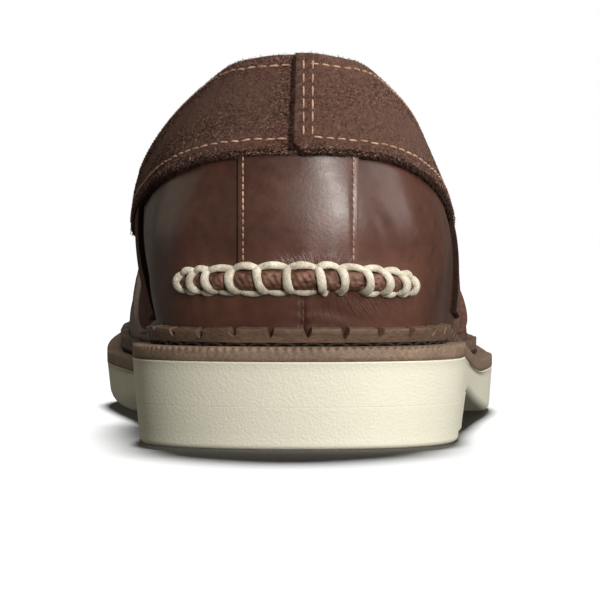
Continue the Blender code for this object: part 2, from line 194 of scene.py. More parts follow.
TOPLINE = (
    (0.0310, 0.000, 0.000, 1.000),
    (0.0410, 0.265, 0.290, 0.982),
    (0.0810, 0.415, 0.455, 0.935),
    (0.1650, 0.595, 0.660, 0.866),
    (0.2650, 0.680, 0.790, 0.800),
    (0.3600, 0.707, 0.833, 0.757),
    (0.4320, 0.595, 0.695, 0.830),
    (0.4770, 0.404, 0.505, 0.950),
    (0.5030, 0.240, 0.350, 1.025),
    (0.5130, 0.130, 0.240, 1.052),
    (0.5155, 0.060, 0.170, 1.060),
    (0.5165, 0.010, 0.120, 1.063),
    (0.5170, -0.025, 0.085, 1.064),
    (0.5170, -0.055, 0.055, 1.064),
)

# The collar band's width on the outer and inner side, as shares of its width at the heel
BAND = (
    (0.97, 0.97),
    (1.02, 1.02),
    (1.19, 1.15),
    (1.16, 1.03),
    (1.04, 0.88),
    (0.92, 0.84),
    (0.80, 0.77),
    (0.70, 0.70),
    (0.66, 0.66),
    (0.65, 0.65),
    (0.65, 0.65),
    (0.65, 0.65),
    (0.65, 0.65),
    (0.65, 0.65),
)

LAST_STATION = len(EDGE) - 1
AROUND = 2 * LAST_STATION
RNG = np.random.default_rng(7)


def mix(low, high, share):
    return low + (high - low) * share


def smooth(value, start, end):
    share = np.clip((np.asarray(value, float) - start) / (end - start), 0.0, 1.0)
    return share * share * (3 - 2 * share)


def lengths(path):
    """Distance along a row of points, at each of them."""
    return np.concatenate(((0.0,), np.cumsum(np.linalg.norm(np.diff(path, axis=0), axis=1))))


def spring(along):
    past = np.maximum(along - SPRING_START, 0.0) / (1 - SPRING_START)
    return TOE_SPRING * past**SPRING_CURVE


def seat_height(y):
    along = y / LENGTH
    return mix(HEEL_HEIGHT, BALL_HEIGHT, smooth(along, *SEAT_SLOPE)) + spring(along)


def underside(y):
    along = y / LENGTH
    return HEEL_LIFT * (1 - smooth(along, *ARCH)) + spring(along)


def around(lateral_rows, medial_rows):
    return np.array(list(lateral_rows) + list(medial_rows)[-2:0:-1], float)


def control_of(points):
    """Control points of the smooth closed curve through a loop of points."""
    unit = np.eye(len(points))
    system = 4 * unit + np.roll(unit, 1, axis=0) + np.roll(unit, -1, axis=0)
    return np.linalg.solve(system, 6 * points)


def spline_at(control, station):
    station = np.mod(station, AROUND)
    whole = np.floor(station).astype(int)
    f = (station - whole)[..., None]
    a, b, c, d = (control[(whole + k) % AROUND] for k in (-1, 0, 1, 2))
    total = (1 - f) ** 3 * a + (3 * f**3 - 6 * f**2 + 4) * b
    total = total + (-3 * f**3 + 3 * f**2 + 3 * f + 1) * c + f**3 * d
    return total / 6


def half_width(row):
    return mix(HEEL_WIDTH, BALL_WIDTH, row[1]) / 2


def line_rows(table, column, sign):
    rows = []
    for row, station in zip(table, EDGE):
        y = row[0] * LENGTH
        z = float(seat_height(y)) + row[3] * UPPER_HEIGHT
        rows.append((sign * row[column] * half_width(station), y, z))
    return rows


def share_rows(table, column):
    return [[row[column]] + list(row[2:]) for row in table]


EDGE_CURVE = control_of(
    around(
        [(row[2] * half_width(row), row[0] * LENGTH) for row in EDGE],
        [(-row[3] * half_width(row), row[0] * LENGTH) for row in EDGE],
    )
)
GIRTH_CURVE = control_of(around(share_rows(GIRTH, 0), share_rows(GIRTH, 1)))
BAND_CURVE = control_of(around(share_rows(BAND, 0), share_rows(BAND, 1)))
SHOULDER_CURVE, CROWN_CURVE, TOP_CURVE = (
    control_of(around(line_rows(table, 1, 1), line_rows(table, 2, -1)))
    for table in (SHOULDER, CROWN, TOPLINE)
)


def edge_point(station, inset):
    station = np.asarray(station, float)
    step = 0.02
    point = spline_at(EDGE_CURVE, station)
    tangent = spline_at(EDGE_CURVE, station + step) - spline_at(EDGE_CURVE, station - step)
    tangent = tangent / np.linalg.norm(tangent, axis=-1)[..., None]
    inset = np.asarray(inset)[..., None]
    square = np.stack((-tangent[..., 1], tangent[..., 0]), axis=-1)
    return point + inset * square


def surface(station, line):
    """The upper's outer face: line 0 is at the sole, 4 at the collar's edge."""
    station, line = np.broadcast_arrays(np.asarray(station, float), np.asarray(line, float))
    foot = edge_point(station, np.full(station.shape, FOOT_INSET))
    shares = spline_at(GIRTH_CURVE, station)
    girth = edge_point(station, FOOT_INSET - shares[..., 0] * FULLNESS)
    foot = np.concatenate((foot, (seat_height(foot[..., 1]) + GAP)[..., None]), axis=-1)
    girth_z = seat_height(girth[..., 1]) + shares[..., 1] * UPPER_HEIGHT
    girth = np.concatenate((girth, girth_z[..., None]), axis=-1)
    others = [spline_at(curve, station) for curve in (SHOULDER_CURVE, CROWN_CURVE, TOP_CURVE)]
    points = np.stack((foot, girth, *others), axis=-2)
    steps = np.diff(points, axis=-2)
    chords = np.linalg.norm(steps, axis=-1) ** CHORD_POWER
    slopes = steps / chords[..., None]
    before, after = chords[..., :-1, None], chords[..., 1:, None]
    inner = (slopes[..., :-1, :] * after + slopes[..., 1:, :] * before) / (before + after)
    first = (3 * slopes[..., :1, :] - inner[..., :1, :]) / 2
    last = (3 * slopes[..., -1:, :] - inner[..., -1:, :]) / 2
    tangents = np.concatenate((first, inner, last), axis=-2)
    i = np.clip(np.floor(line).astype(int), 0, 3)
    f = (line - i)[..., None]

    def pick(table, index):
        return np.take_along_axis(table, index[..., None, None], axis=-2)[..., 0, :]

    h = np.take_along_axis(chords, i[..., None], axis=-1)
    low = (2 * f**3 - 3 * f**2 + 1) * pick(points, i)
    low = low + (f**3 - 2 * f**2 + f) * h * pick(tangents, i)
    high = (3 * f**2 - 2 * f**3) * pick(points, i + 1)
    return low + high + (f**3 - f**2) * h * pick(tangents, i + 1)


# Distances up the wall, and round it at the fullest line, on a fine grid of stations
FINE_STATIONS = np.linspace(0, AROUND, AROUND * 40 + 1)
LINES = np.linspace(0, 4, FINE_LINES)
WALL_GRID = surface(FINE_STATIONS[:, None], LINES[None, :])
UPS = np.concatenate(
    (
        np.zeros((len(FINE_STATIONS), 1)),
        np.cumsum(np.linalg.norm(np.diff(WALL_GRID, axis=1), axis=2), axis=1),
    ),
    axis=1,
)
GIRTH_RUN = lengths(WALL_GRID[:, 20])
WHOLE_RUN = GIRTH_RUN[-1]


def station_row(station):
    place = np.mod(station, AROUND) * 40
    low = np.minimum(np.floor(place).astype(int), len(FINE_STATIONS) - 2)
    share = (place - low)[..., None]
    return UPS[low] * (1 - share) + UPS[low + 1] * share


def total_up(station):
    return station_row(np.asarray(station, float))[..., -1]


def line_at(station, up):
    """The line that lies a distance up the wall from the sole."""
    station, up = np.broadcast_arrays(np.asarray(station, float), np.asarray(up, float))
    row = station_row(station)
    index = np.clip((row < up[..., None]).sum(axis=-1), 1, FINE_LINES - 1)
    low = np.take_along_axis(row, (index - 1)[..., None], axis=-1)[..., 0]
    high = np.take_along_axis(row, index[..., None], axis=-1)[..., 0]
    share = np.clip((up - low) / (high - low), 0.0, 1.0)
    return LINES[index - 1] + share * (LINES[1] - LINES[0])


def up_at(station, line):
    station, line = np.broadcast_arrays(np.asarray(station, float), np.asarray(line, float))
    row = station_row(station)
    place = np.clip(line / (LINES[1] - LINES[0]), 0, FINE_LINES - 1 - 1e-9)
    low = np.floor(place).astype(int)
    share = place - low
    a = np.take_along_axis(row, low[..., None], axis=-1)[..., 0]
    b = np.take_along_axis(row, (low + 1)[..., None], axis=-1)[..., 0]
    return mix(a, b, share)


def run_at(station):
    """Distance round the wall from the heel's back, negative on the inner side."""
    station = np.asarray(station, float)
    signed = np.where(station > AROUND / 2, station - AROUND, station)
    whole = np.interp(np.abs(signed), FINE_STATIONS, GIRTH_RUN)
    back = WHOLE_RUN - np.interp(AROUND - np.abs(signed), FINE_STATIONS, GIRTH_RUN)
    return np.where(signed >= 0, whole, -back)


def station_at(run):
    """The station a distance round the wall from the heel's back."""
    run = np.mod(np.asarray(run, float), WHOLE_RUN)
    return np.interp(run, GIRTH_RUN, FINE_STATIONS)


def band_width(station):
    return spline_at(BAND_CURVE, np.asarray(station, float))[..., 0] * BAND_WIDTH


def outward(station, line):
    step = 0.03
    below = np.maximum(line - step, 0.0)
    above = np.minimum(line + step, 4.0)
    along = surface(station + step, line) - surface(station - step, line)
    rise = surface(station, above) - surface(station, below)
    normal = np.cross(along, rise)
    return normal / np.linalg.norm(normal, axis=-1)[..., None]


def place(station, up, height):
    """Points a distance up the wall and a height off its face, past the top edge too."""
    station, up, height = np.broadcast_arrays(
        np.asarray(station, float), np.asarray(up, float), np.asarray(height, float)
    )
    line = line_at(station, up)
    normal = outward(station, line)
    point = surface(station, line) + height[..., None] * normal
    over = np.maximum(up - total_up(station), 0.0)
    if np.any(over > 0):
        rise = surface(station, np.full(station.shape, 4.0)) - surface(
            station, np.full(station.shape, 3.95)
        )
        rise = rise / np.linalg.norm(rise, axis=-1)[..., None]
        point = point + over[..., None] * rise
    under = np.minimum(up, 0.0)
    point[..., 2] += under
    return point


FINE_EDGE = spline_at(EDGE_CURVE, np.linspace(0, AROUND, 2081))
SHIFT = np.array((*((FINE_EDGE.min(axis=0) + FINE_EDGE.max(axis=0)) / 2), 0.0))


def add_mesh(name, points, faces, finish, layers=None, uv=None, slots=None):
    """Makes one object from points in the last's frame, faces and per-point layers."""
    mesh = bpy.data.meshes.new(name)
    points = np.asarray(points, float).reshape(-1, 3) - SHIFT
    mesh.from_pydata(points.tolist(), [], faces)
    for layer_name, values in (layers or {}).items():
        made = mesh.attributes.new(layer_name, "FLOAT", "POINT")
        made.data.foreach_set("value", np.asarray(values, np.float32).ravel())
    if uv is not None:
        uv_layer = mesh.uv_layers.new(name="UVMap")
        corner = np.zeros(len(mesh.loops), int)
        mesh.loops.foreach_get("vertex_index", corner)
        flat = np.asarray(uv, np.float32).reshape(-1, 2)[corner]
        uv_layer.data.foreach_set("uv", flat.ravel())
    finishes = finish if isinstance(finish, (list, tuple)) else [finish]
    for item in finishes:
        mesh.materials.append(item)
    if slots is not None:
        mesh.polygons.foreach_set("material_index", np.asarray(slots, np.int32))
    mesh.polygons.foreach_set("use_smooth", [True] * len(mesh.polygons))
    mesh.update()
    made = bpy.data.objects.new(name, mesh)
    bpy.context.scene.collection.objects.link(made)
    return made


def grid_faces(columns, rows, closed=False):
    """Quads of a grid whose points run up each column, facing outwards."""
    c = np.arange(columns if closed else columns - 1)[:, None]
    r = np.arange(rows - 1)[None, :]
    near = c * rows + r
    far = ((c + 1) % columns) * rows + r
    return np.stack((near, far, far + 1, near + 1), axis=-1).reshape(-1, 4).tolist()


def finish_piece(made, slot, *nodes):
    """Hands a finished piece to the frame."""
    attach(made, "root")
    if nodes:
        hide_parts(*nodes)
    return made


def tubes(name, paths, radii, finish, sides=8, faces_out=None, flat=1.0):
    """One mesh of threads: each path is a row of points with a radius for each.

    With faces_out, the way each point of each path faces, the threads are flattened that way.
    """
    points = []
    faces = []
    turn = np.linspace(0, 2 * math.pi, sides, endpoint=False)
    around_ring = np.arange(sides)
    for number, (path, radius) in enumerate(zip(paths, radii)):
        path = np.asarray(path, float)
        radius = np.broadcast_to(np.asarray(radius, float), (len(path),))
        tangent = np.gradient(path, axis=0)
        tangent = tangent / np.linalg.norm(tangent, axis=1)[:, None]
        across = np.cross(tangent[0], (0.3, 0.2, 0.9))
        start = len(points) * sides
        for k in range(len(path)):
            if faces_out is not None:
                across = np.cross(tangent[k], faces_out[number][k])
            across = across - tangent[k] * np.dot(across, tangent[k])
            across = across / np.linalg.norm(across)
            other = np.cross(tangent[k], across)
            ring = np.outer(np.cos(turn), across) + flat * np.outer(np.sin(turn), other)
            points.append(path[k] + radius[k] * ring)
        near = start + np.arange(len(path) - 1)[:, None] * sides + around_ring
        after = start + np.arange(len(path) - 1)[:, None] * sides + (around_ring + 1) % sides
        quads = np.stack((near, after, after + sides, near + sides), axis=-1)
        faces += quads.reshape(-1, 4).tolist()
        faces.append((start + around_ring[::-1]).tolist())
        faces.append((start + (len(path) - 1) * sides + around_ring).tolist())
    return add_mesh(name, np.concatenate(points), faces, finish)


# Kinds of stitch: the gap at each end, its sway, its arch, its thinnest part and its taper
SUNK_STITCH = (0.10, 0.36, 1.35, 0.45, 0.02)
FACE_STITCH = (0.11, 0.38, 1.25, 0.50, 0.03)


def stitch_row(stations, ups, heights, length, radius, kind):
    """Short threads laid end to end along a line of places on the wall.

    Each stitch dips into its holes at both ends, and the gaps between them are small.
    """
    gap, sway, arch, thinnest, taper = kind
    stations, ups, heights = np.broadcast_arrays(stations, ups, heights)
    run = lengths(place(stations, ups, heights))
    count = max(int(run[-1] / length), 1)
    pitch = run[-1] / count
    shape = np.linspace(0, 1, 7)
    bulge = np.sin(np.pi * shape) ** 0.6
    width = np.sin(np.pi * np.clip(shape, taper, 1 - taper)) ** 0.4
    paths, radii = [], []
    for k in range(count):
        shift = RNG.normal(0, radius * sway, 2)
        where = (k + mix(gap, 1 - gap, shape)) * pitch
        s = np.interp(where, run, stations)
        u = np.interp(where, run, ups) + mix(shift[0], shift[1], shape)
        h = np.interp(where, run, heights)
        paths.append(place(s, u, h + radius * (bulge * arch - 0.75)))
        radii.append(radius * mix(thinnest, 1.0, width))
    return paths, radii


class Finish:
    """A Principled material with short ways to add procedural detail in object space."""

    def __init__(self, name, colour, roughness):
        self.made = bpy.data.materials.new(name)
        self.made.use_nodes = True
        self.nodes = self.made.node_tree.nodes
        self.links = self.made.node_tree.links
        self.shader = self.nodes["Principled BSDF"]
        self.shader.inputs["Base Color"].default_value = (*colour, 1)
        self.shader.inputs["Roughness"].default_value = roughness
        self.made.diffuse_color = (*colour, 1)
        self.coords = self.nodes.new("ShaderNodeTexCoord").outputs["Object"]

    def set(self, socket, value):
        self.shader.inputs[socket].default_value = value

    def stretched(self, scale):
        node = self.nodes.new("ShaderNodeMapping")
        node.inputs["Scale"].default_value = scale
        self.links.new(self.coords, node.inputs["Vector"])
        return node.outputs["Vector"]

    def uv(self):
        return self.nodes.new("ShaderNodeUVMap").outputs["UV"]

    def noise(self, scale, detail=4.0, rough=0.55, vector=None, distortion=0.0):
        node = self.nodes.new("ShaderNodeTexNoise")
        node.inputs["Scale"].default_value = scale
        node.inputs["Detail"].default_value = detail
        node.inputs["Roughness"].default_value = rough
        node.inputs["Distortion"].default_value = distortion
        self.links.new(vector or self.coords, node.inputs["Vector"])
        return node.outputs["Fac"]

    def cells(self, scale):
        node = self.nodes.new("ShaderNodeTexVoronoi")
        node.feature = "SMOOTH_F1"
        node.inputs["Scale"].default_value = scale
        self.links.new(self.coords, node.inputs["Vector"])
        return node.outputs["Distance"]

    def attribute(self, name):
        node = self.nodes.new("ShaderNodeAttribute")
        node.attribute_name = name
        return node.outputs["Fac"]

    def ramp(self, value, *stops):
        node = self.nodes.new("ShaderNodeValToRGB")
        ramp = node.color_ramp
        while len(ramp.elements) < len(stops):
            ramp.elements.new(0.5)
        for element, (place_, colour) in zip(ramp.elements, stops):
            element.position = place_
            element.color = (*colour, 1)
        self.links.new(value, node.inputs["Fac"])
        return node.outputs["Color"]

    def levels(self, value, low, high, out_low=0.0, out_high=1.0):
        node = self.nodes.new("ShaderNodeMapRange")
        node.inputs["From Min"].default_value = low
        node.inputs["From Max"].default_value = high
        node.inputs["To Min"].default_value = out_low
        node.inputs["To Max"].default_value = out_high
        self.links.new(value, node.inputs["Value"])
        return node.outputs["Result"]

    def sum(self, a, b, operation="ADD"):
        node = self.nodes.new("ShaderNodeMath")
        node.operation = operation
        for socket, value in zip(node.inputs, (a, b)):
            if isinstance(value, (int, float)):
                socket.default_value = value
            else:
                self.links.new(value, socket)
        return node.outputs["Value"]

    def blend(self, low, high, share):
        node = self.nodes.new("ShaderNodeMix")
        node.data_type = "RGBA"
        for socket, value in ((node.inputs[6], low), (node.inputs[7], high)):
            if isinstance(value, tuple):
                socket.default_value = (*value, 1)
            else:
                self.links.new(value, socket)
        self.links.new(share, node.inputs[0])
        return node.outputs[2]

    def colour(self, value):
        self.links.new(value, self.shader.inputs["Base Color"])

    def tones(self, share, dark, light):
        self.colour(self.ramp(share, (0.0, dark), (1.0, light)))

    def roughness(self, value):
        self.links.new(value, self.shader.inputs["Roughness"])

    def bumps(self, *layers):
        """Each layer is a height, its depth in metres and a strength."""
        before = None
        for height, depth, strength in layers:
            node = self.nodes.new("ShaderNodeBump")
            node.inputs["Distance"].default_value = depth
            node.inputs["Strength"].default_value = strength
            self.links.new(height, node.inputs["Height"])
            if before is not None:
                self.links.new(before, node.inputs["Normal"])
            before = node.outputs["Normal"]
        self.links.new(before, self.shader.inputs["Normal"])


def leather_finish(name, dark, light, roughness=(0.29, 0.38), grain=1.0):
    """Waxed pull-up leather: clouds of colour, fine grain and soft wrinkles."""
    made = Finish(name, light, 0.45)
    clouds = made.noise(38.0, 5.0, 0.6, distortion=0.4)
    speckle = made.noise(420.0, 3.0, 0.6)
    share = made.sum(made.levels(clouds, 0.16, 0.84), made.levels(speckle, 0.3, 0.75, -0.16, 0.16))
    base = made.ramp(share, (0.0, dark), (1.0, light))
    # The attribute layer read here lightens the leather for rubbed wear, and over the heel's bulge it
    # is a painted highlight
    wear_and_highlight_share = made.attribute("wear_and_highlight")
    lifted = tuple(min(c * 1.55 + 0.012, 1.0) for c in light)
    made.colour(made.blend(base, lifted, made.sum(wear_and_highlight_share, 0.75, "MULTIPLY")))
    scuffs = made.noise(150.0, 4.0, 0.65, made.stretched((1.0, 1.0, 2.2)))
    made.roughness(made.levels(scuffs, 0.3, 0.7, roughness[0], roughness[1]))
    pores = made.cells(1500.0)
    soft = made.noise(110.0, 3.0, 0.5, distortion=0.8)
    fine = made.noise(900.0, 2.0, 0.5)
    fan = made.noise(1.0, 3.0, 0.6, made.uv())
    lines = made.sum(made.levels(fan, 0.36, 0.60), made.attribute("hairlines"), "MULTIPLY")
    made.bumps(
        (lines, 0.00055, 0.75),
        (soft, 0.0005 * grain, 0.06),
        (pores, 0.00009 * grain, 0.15),
        (fine, 0.00008 * grain, 0.16),
    )
    made.set("Specular IOR Level", 0.38)
    return made.made


def suede_finish(name, dark, light):
    """Napped leather: short fibres that catch the light in soft patches."""
    made = Finish(name, light, 0.95)
    patches = made.noise(70.0, 4.0, 0.6, distortion=0.6)
    fibres = made.noise(1350.0, 5.0, 0.72, distortion=0.9)
    flecks = made.noise(5200.0, 2.0, 0.6)
    tufts = made.levels(fibres, 0.33, 0.67, -0.42, 0.44)
    share = made.sum(made.levels(patches, 0.25, 0.75, 0.40, 0.60), tufts)
    share = made.sum(share, made.levels(flecks, 0.3, 0.7, -0.15, 0.22))
    middle = tuple(mix(a, b, 0.55) for a, b in zip(dark, light))
    made.colour(made.ramp(share, (0.0, dark), (0.55, middle), (1.0, light)))
    made.bumps((patches, 0.0007, 0.15), (fibres, 0.00060, 0.9), (flecks, 0.00024, 0.8))
    made.set("Specular IOR Level", 0.04)
    made.set("Sheen Weight", 0.15)
    made.set("Sheen Roughness", 0.6)
    made.set("Sheen Tint", (0.62, 0.44, 0.36, 1))
    return made.made


def fibre_finish(name, dark, light):
    """Single suede fibres, each with a tone of its own."""
    made = Finish(name, light, 0.9)
    made.tones(made.attribute("tone"), dark, light)
    made.set("Specular IOR Level", 0.05)
    return made.made


def foam_finish(name, colour):
    """Matte foam with a fine pebbled skin."""
    made = Finish(name, colour, 0.72)
    tint = made.noise(24.0, 3.0, 0.5)
    dirt = made.noise(300.0, 3.0, 0.6)
    darker = tuple(c * 0.93 for c in colour)
    share = made.sum(made.levels(tint, 0.3, 0.7, 0.0, 0.8), made.levels(dirt, 0.35, 0.7, -0.12, 0.12))
    made.tones(share, darker, colour)
    pebbles = made.cells(1900.0)
    crumb = made.noise(2600.0, 2.0, 0.5)
    made.bumps((pebbles, 0.00016, 0.45), (crumb, 0.00009, 0.4))
    made.set("Specular IOR Level", 0.28)
    return made.made


def strip_finish(name, dark, light, roughness=0.62, grain=1.0):
    """Dull fibrous strip, cut and burnished at its edges."""
    made = Finish(name, light, roughness)
    clouds = made.noise(70.0, 4.0, 0.6, made.stretched((1.0, 1.0, 3.0)))
    fibres = made.noise(700.0 * grain, 4.0, 0.65, made.stretched((1.0, 1.0, 3.0 / grain)))
    streaks = made.levels(fibres, 0.3, 0.7, -0.32, 0.32)
    share = made.sum(made.levels(clouds, 0.3, 0.7, 0.2, 0.7), streaks)
    made.tones(share, dark, light)
    made.bumps((clouds, 0.0006, 0.25), (fibres, 0.0003, 0.55))
    made.set("Specular IOR Level", 0.3)
    return made.made


def thread_finish(name, dark, light, roughness=0.7):
    """Thread with a light twist and a few darker, waxed stretches."""
    made = Finish(name, light, roughness)
    stain = made.noise(260.0, 4.0, 0.6)
    twist = made.noise(1800.0, 3.0, 0.6)
    share = made.sum(made.levels(stain, 0.32, 0.68), made.levels(twist, 0.3, 0.7, -0.25, 0.25))
    made.tones(share, dark, light)
    made.bumps((twist, 0.00035, 0.6))
    made.set("Sheen Weight", 0.2)
    return made.made


leather = leather_finish("smooth_leather", (0.032, 0.0125, 0.0080), (0.112, 0.045, 0.030))
bead_leather = leather_finish(
    "bead_leather", (0.040, 0.016, 0.010), (0.158, 0.072, 0.046), (0.48, 0.70), grain=3.4
)
stay_leather = leather_finish("stay_leather", (0.034, 0.0135, 0.0088), (0.118, 0.048, 0.032))
suede = suede_finish("suede", (0.020, 0.0095, 0.0070), (0.165, 0.085, 0.063))
nap_fibre = fibre_finish("nap_fibre", (0.012, 0.0055, 0.0042), (0.37, 0.21, 0.162))
dark_suede = suede_finish("raw_edge", (0.006, 0.0028, 0.002), (0.034, 0.016, 0.011))
lining = leather_finish("lining_tan", (0.20, 0.115, 0.060), (0.34, 0.205, 0.115), (0.6, 0.75), 0.8)
foam = foam_finish("cream_foam", (0.645, 0.620, 0.505))
strip_edge = strip_finish("strip_brown", (0.105, 0.067, 0.045), (0.265, 0.182, 0.124), grain=1.8)
rand_brown = strip_finish("rand_brown", (0.064, 0.037, 0.024), (0.165, 0.100, 0.065), 0.5)
# Near-black finish of painted shade, for the gap under the rand
painted_welt_shade = strip_finish("painted_welt_shade", (0.006, 0.004, 0.0025), (0.016, 0.010, 0.006), 0.9)
cream_thread = thread_finish("cream_thread", (0.33, 0.28, 0.205), (0.69, 0.64, 0.515))
tan_thread = thread_finish("tan_thread", (0.20, 0.095, 0.055), (0.56, 0.33, 0.215))
rust_thread = thread_finish("rust_thread", (0.16, 0.055, 0.03), (0.34, 0.13, 0.075))
seam_thread = thread_finish("seam_thread", (0.035, 0.015, 0.009), (0.150, 0.065, 0.038))
dark_thread = strip_finish("dark_thread", (0.007, 0.0045, 0.003), (0.026, 0.016, 0.010), 0.85)

EDGE_RUN = lengths(FINE_EDGE)
EDGE_STATIONS = np.linspace(0, AROUND, 2081)


def spread(start, end, pitch):
    return np.linspace(start, end, max(int(math.ceil((end - start) / pitch)), 1) + 1)


# Tells the outer side from the inner one at the heel's back, where the station is 0
NEAR_HEEL = 1e-6


def bottom_rounding(station, y):
    along = y / LENGTH
    share = smooth(along, *ARCH) * (1 - smooth(along, *ROUNDING_FADE))
    grown = mix(BOTTOM_ROUNDING, MEDIAL_ROUNDING, share)
    return np.where(station > 0, BOTTOM_ROUNDING, grown)


def ring(inset, height, radius, last=LAST_STATION, steps=200, share=(0.0, 0.0)):
    """A level of a sole layer, with its lateral points first and its medial ones backwards.

    The radius, a size or what works it out, rounds the layer's edge, and share says how much
    of it the level lies inwards and upwards.
    """
    stations = last * np.linspace(0, 1, steps + 1)
    sides = []
    for sign in (1, -1):
        station = sign * stations
        start = edge_point(station, np.full(station.shape, inset))
        if callable(radius):
            size = radius(sign * (stations + NEAR_HEEL), start[:, 1])
        else:
            size = np.full(station.shape, radius)
        point = edge_point(station, inset + share[0] * size)
        z = height(point[:, 1]) + share[1] * size
        sides.append(np.column_stack((point, z)))
    return np.concatenate((sides[0], sides[1][::-1]))


def slab(name, rings, finish):
    """A closed layer through its levels, from below, with a flat bottom and top."""
    count = len(rings[0])
    faces = []
    for level in range(len(rings) - 1):
        low = level * count
        for i in range(count):
            j = (i + 1) % count
            faces.append((low + i, low + j, low + count + j, low + count + i))
    for low in (0, (len(rings) - 1) * count):
        for i in range(count // 2 - 1):
            other = count - 1 - i
            quad = (low + i, low + i + 1, low + other - 1, low + other)
            faces.append(quad[::-1] if low == 0 else quad)
    made = add_mesh(name, np.concatenate(rings), faces, finish)
    weld(made)
    return made


def weld(made):
    work = bmesh.new()
    work.from_mesh(made.data)
    bmesh.ops.remove_doubles(work, verts=work.verts, dist=0.000004)
    bmesh.ops.recalc_face_normals(work, faces=work.faces)
    work.to_mesh(made.data)
    work.free()


def corner_shares(steps):
    """Shares of a radius inwards and upwards round a quarter circle, from below."""
    angles = np.linspace(0, math.pi / 2, steps)
    return [(1 - math.sin(a), 1 - math.cos(a)) for a in angles]


# The outsole's edge over the heel, where it gives way to the rounding, the heel block's lower
# edge, and the unit of the fine steps in both
HEEL_EDGE = 0.00005
HEEL_EDGE_END = (0.25, 0.31)
LIFT_EDGE = 0.0011
HAIR = 0.00001


def make_sole():
    """Cream outsole and heel block with soft edges and a fine parting line between them."""

    def edge_radius(station, y):
        on_heel = 1 - smooth(y / LENGTH, *HEEL_EDGE_END)
        return mix(bottom_rounding(station, y), HEEL_EDGE, on_heel)

    def top(y):
        return seat_height(y) - MIDSOLE_THICK - 4 * HAIR

    rings = [ring(SIDE_TAPER, underside, edge_radius, share=share) for share in corner_shares(7)]
    for share in (0.02, 0.25, 0.5, 0.75, 0.96):
        rings.append(
            ring(
                mix(SIDE_TAPER, 5 * HAIR, share),
                lambda y, part=share: mix(underside(y), top(y), part),
                edge_radius,
                share=(0.0, 1 - share),
            )
        )
    rings.append(ring(2 * HAIR, lambda y: top(y) - 25 * HAIR, edge_radius))
    rings.append(ring(22 * HAIR, top, edge_radius))
    finish_piece(slab("outsole_foam", rings, foam), "cream_foam", "outsole")

    def lift_ring(inset, height, last, radius=0.0, share=(0.0, 0.0)):
        return ring(inset, height, radius, last, 90, share)

    def lift_top(y):
        return underside(y) - HAIR

    rings = [
        lift_ring(2 * SIDE_TAPER, lambda y: y * 0, BREAST_BOTTOM, LIFT_EDGE, share)
        for share in corner_shares(6)
    ]
    for share in (0.0, 0.3, 0.6, 0.9):
        rings.append(
            lift_ring(
                mix(2 * SIDE_TAPER, SIDE_TAPER + 6 * HAIR, share),
                lambda y, part=share: mix(0.0016, lift_top(y) - 25 * HAIR, part),
                mix(BREAST_BOTTOM, BREAST_TOP, share),
            )
        )
    for inset, drop in ((4, 20), (4, 5), (8, 0)):
        rings.append(
            lift_ring(
                SIDE_TAPER + inset * HAIR,
                lambda y, fall=drop: lift_top(y) - fall * HAIR,
                BREAST_TOP,
            )
        )
    finish_piece(slab("heel_block", rings, foam), "cream_foam", "heel_lift")


def make_midsole():
    """Brown strip under the upper, wheeled into small teeth round the heel."""
    heel_run = 0.150
    whole = EDGE_RUN[-1]
    runs = np.concatenate(
        (
            spread(0, heel_run, 0.00032),
            spread(heel_run, whole - heel_run, 0.0012)[1:-1],
            spread(whole - heel_run, whole, 0.00032)[:-1],
        )
    )
    stations = np.interp(runs, EDGE_RUN, EDGE_STATIONS)
    from_heel = np.minimum(runs, whole - runs)
    pitch = 0.00195
    phase = np.abs(((runs / pitch) % 1.0) - 0.5) * 2
    tooth = np.clip(1.35 * phase - 0.2, 0, 1) * (1 - smooth(from_heel, 0.085, 0.125))
    wobble = 0.8 + 0.2 * np.sin(runs * 310.0) * np.sin(runs * 97.0)
    tooth = tooth * wobble
    rows = (
        (0.0140, -MIDSOLE_THICK, 0.0),
        (0.00030, -MIDSOLE_THICK, 0.0),
        (0.00003, -MIDSOLE_THICK + 0.00025, 0.0),
        (0.00000, -0.0022, 0.0),
        (0.00000, -0.0013, 0.0),
        (0.00002, -0.00024, 0.00074),
        (0.00010, -0.00004, 0.00092),
        (0.00055, 0.00000, 0.00080),
        (0.00130, 0.00000, 0.00030),
        (0.00300, 0.00000, 0.0),
        (0.0140, 0.00000, 0.0),
    )
    grid = []
    for inset, rise, cut in rows:
        point = edge_point(stations, np.full(stations.shape, inset) + cut * 0.25 * tooth)
        z = seat_height(point[:, 1]) + rise - cut * tooth
        grid.append(np.column_stack((point, z)))
    grid = np.stack(grid, axis=1)
    made = add_mesh(
        "midsole_strip", grid, grid_faces(len(stations), len(rows), True), strip_edge
    )
    finish_piece(made, "strip_brown", "midsole")


def notch_runs():
    """Where the rand's notches are, along its foot."""
    stations = EDGE_STATIONS[::2]
    run = lengths(edge_point(stations, np.full(len(stations), FLANGE)))
    count = round(run[-1] / NOTCH_PITCH)
    pitch = run[-1] / count
    return run, stations, (np.arange(count) + NOTCH_START) * pitch


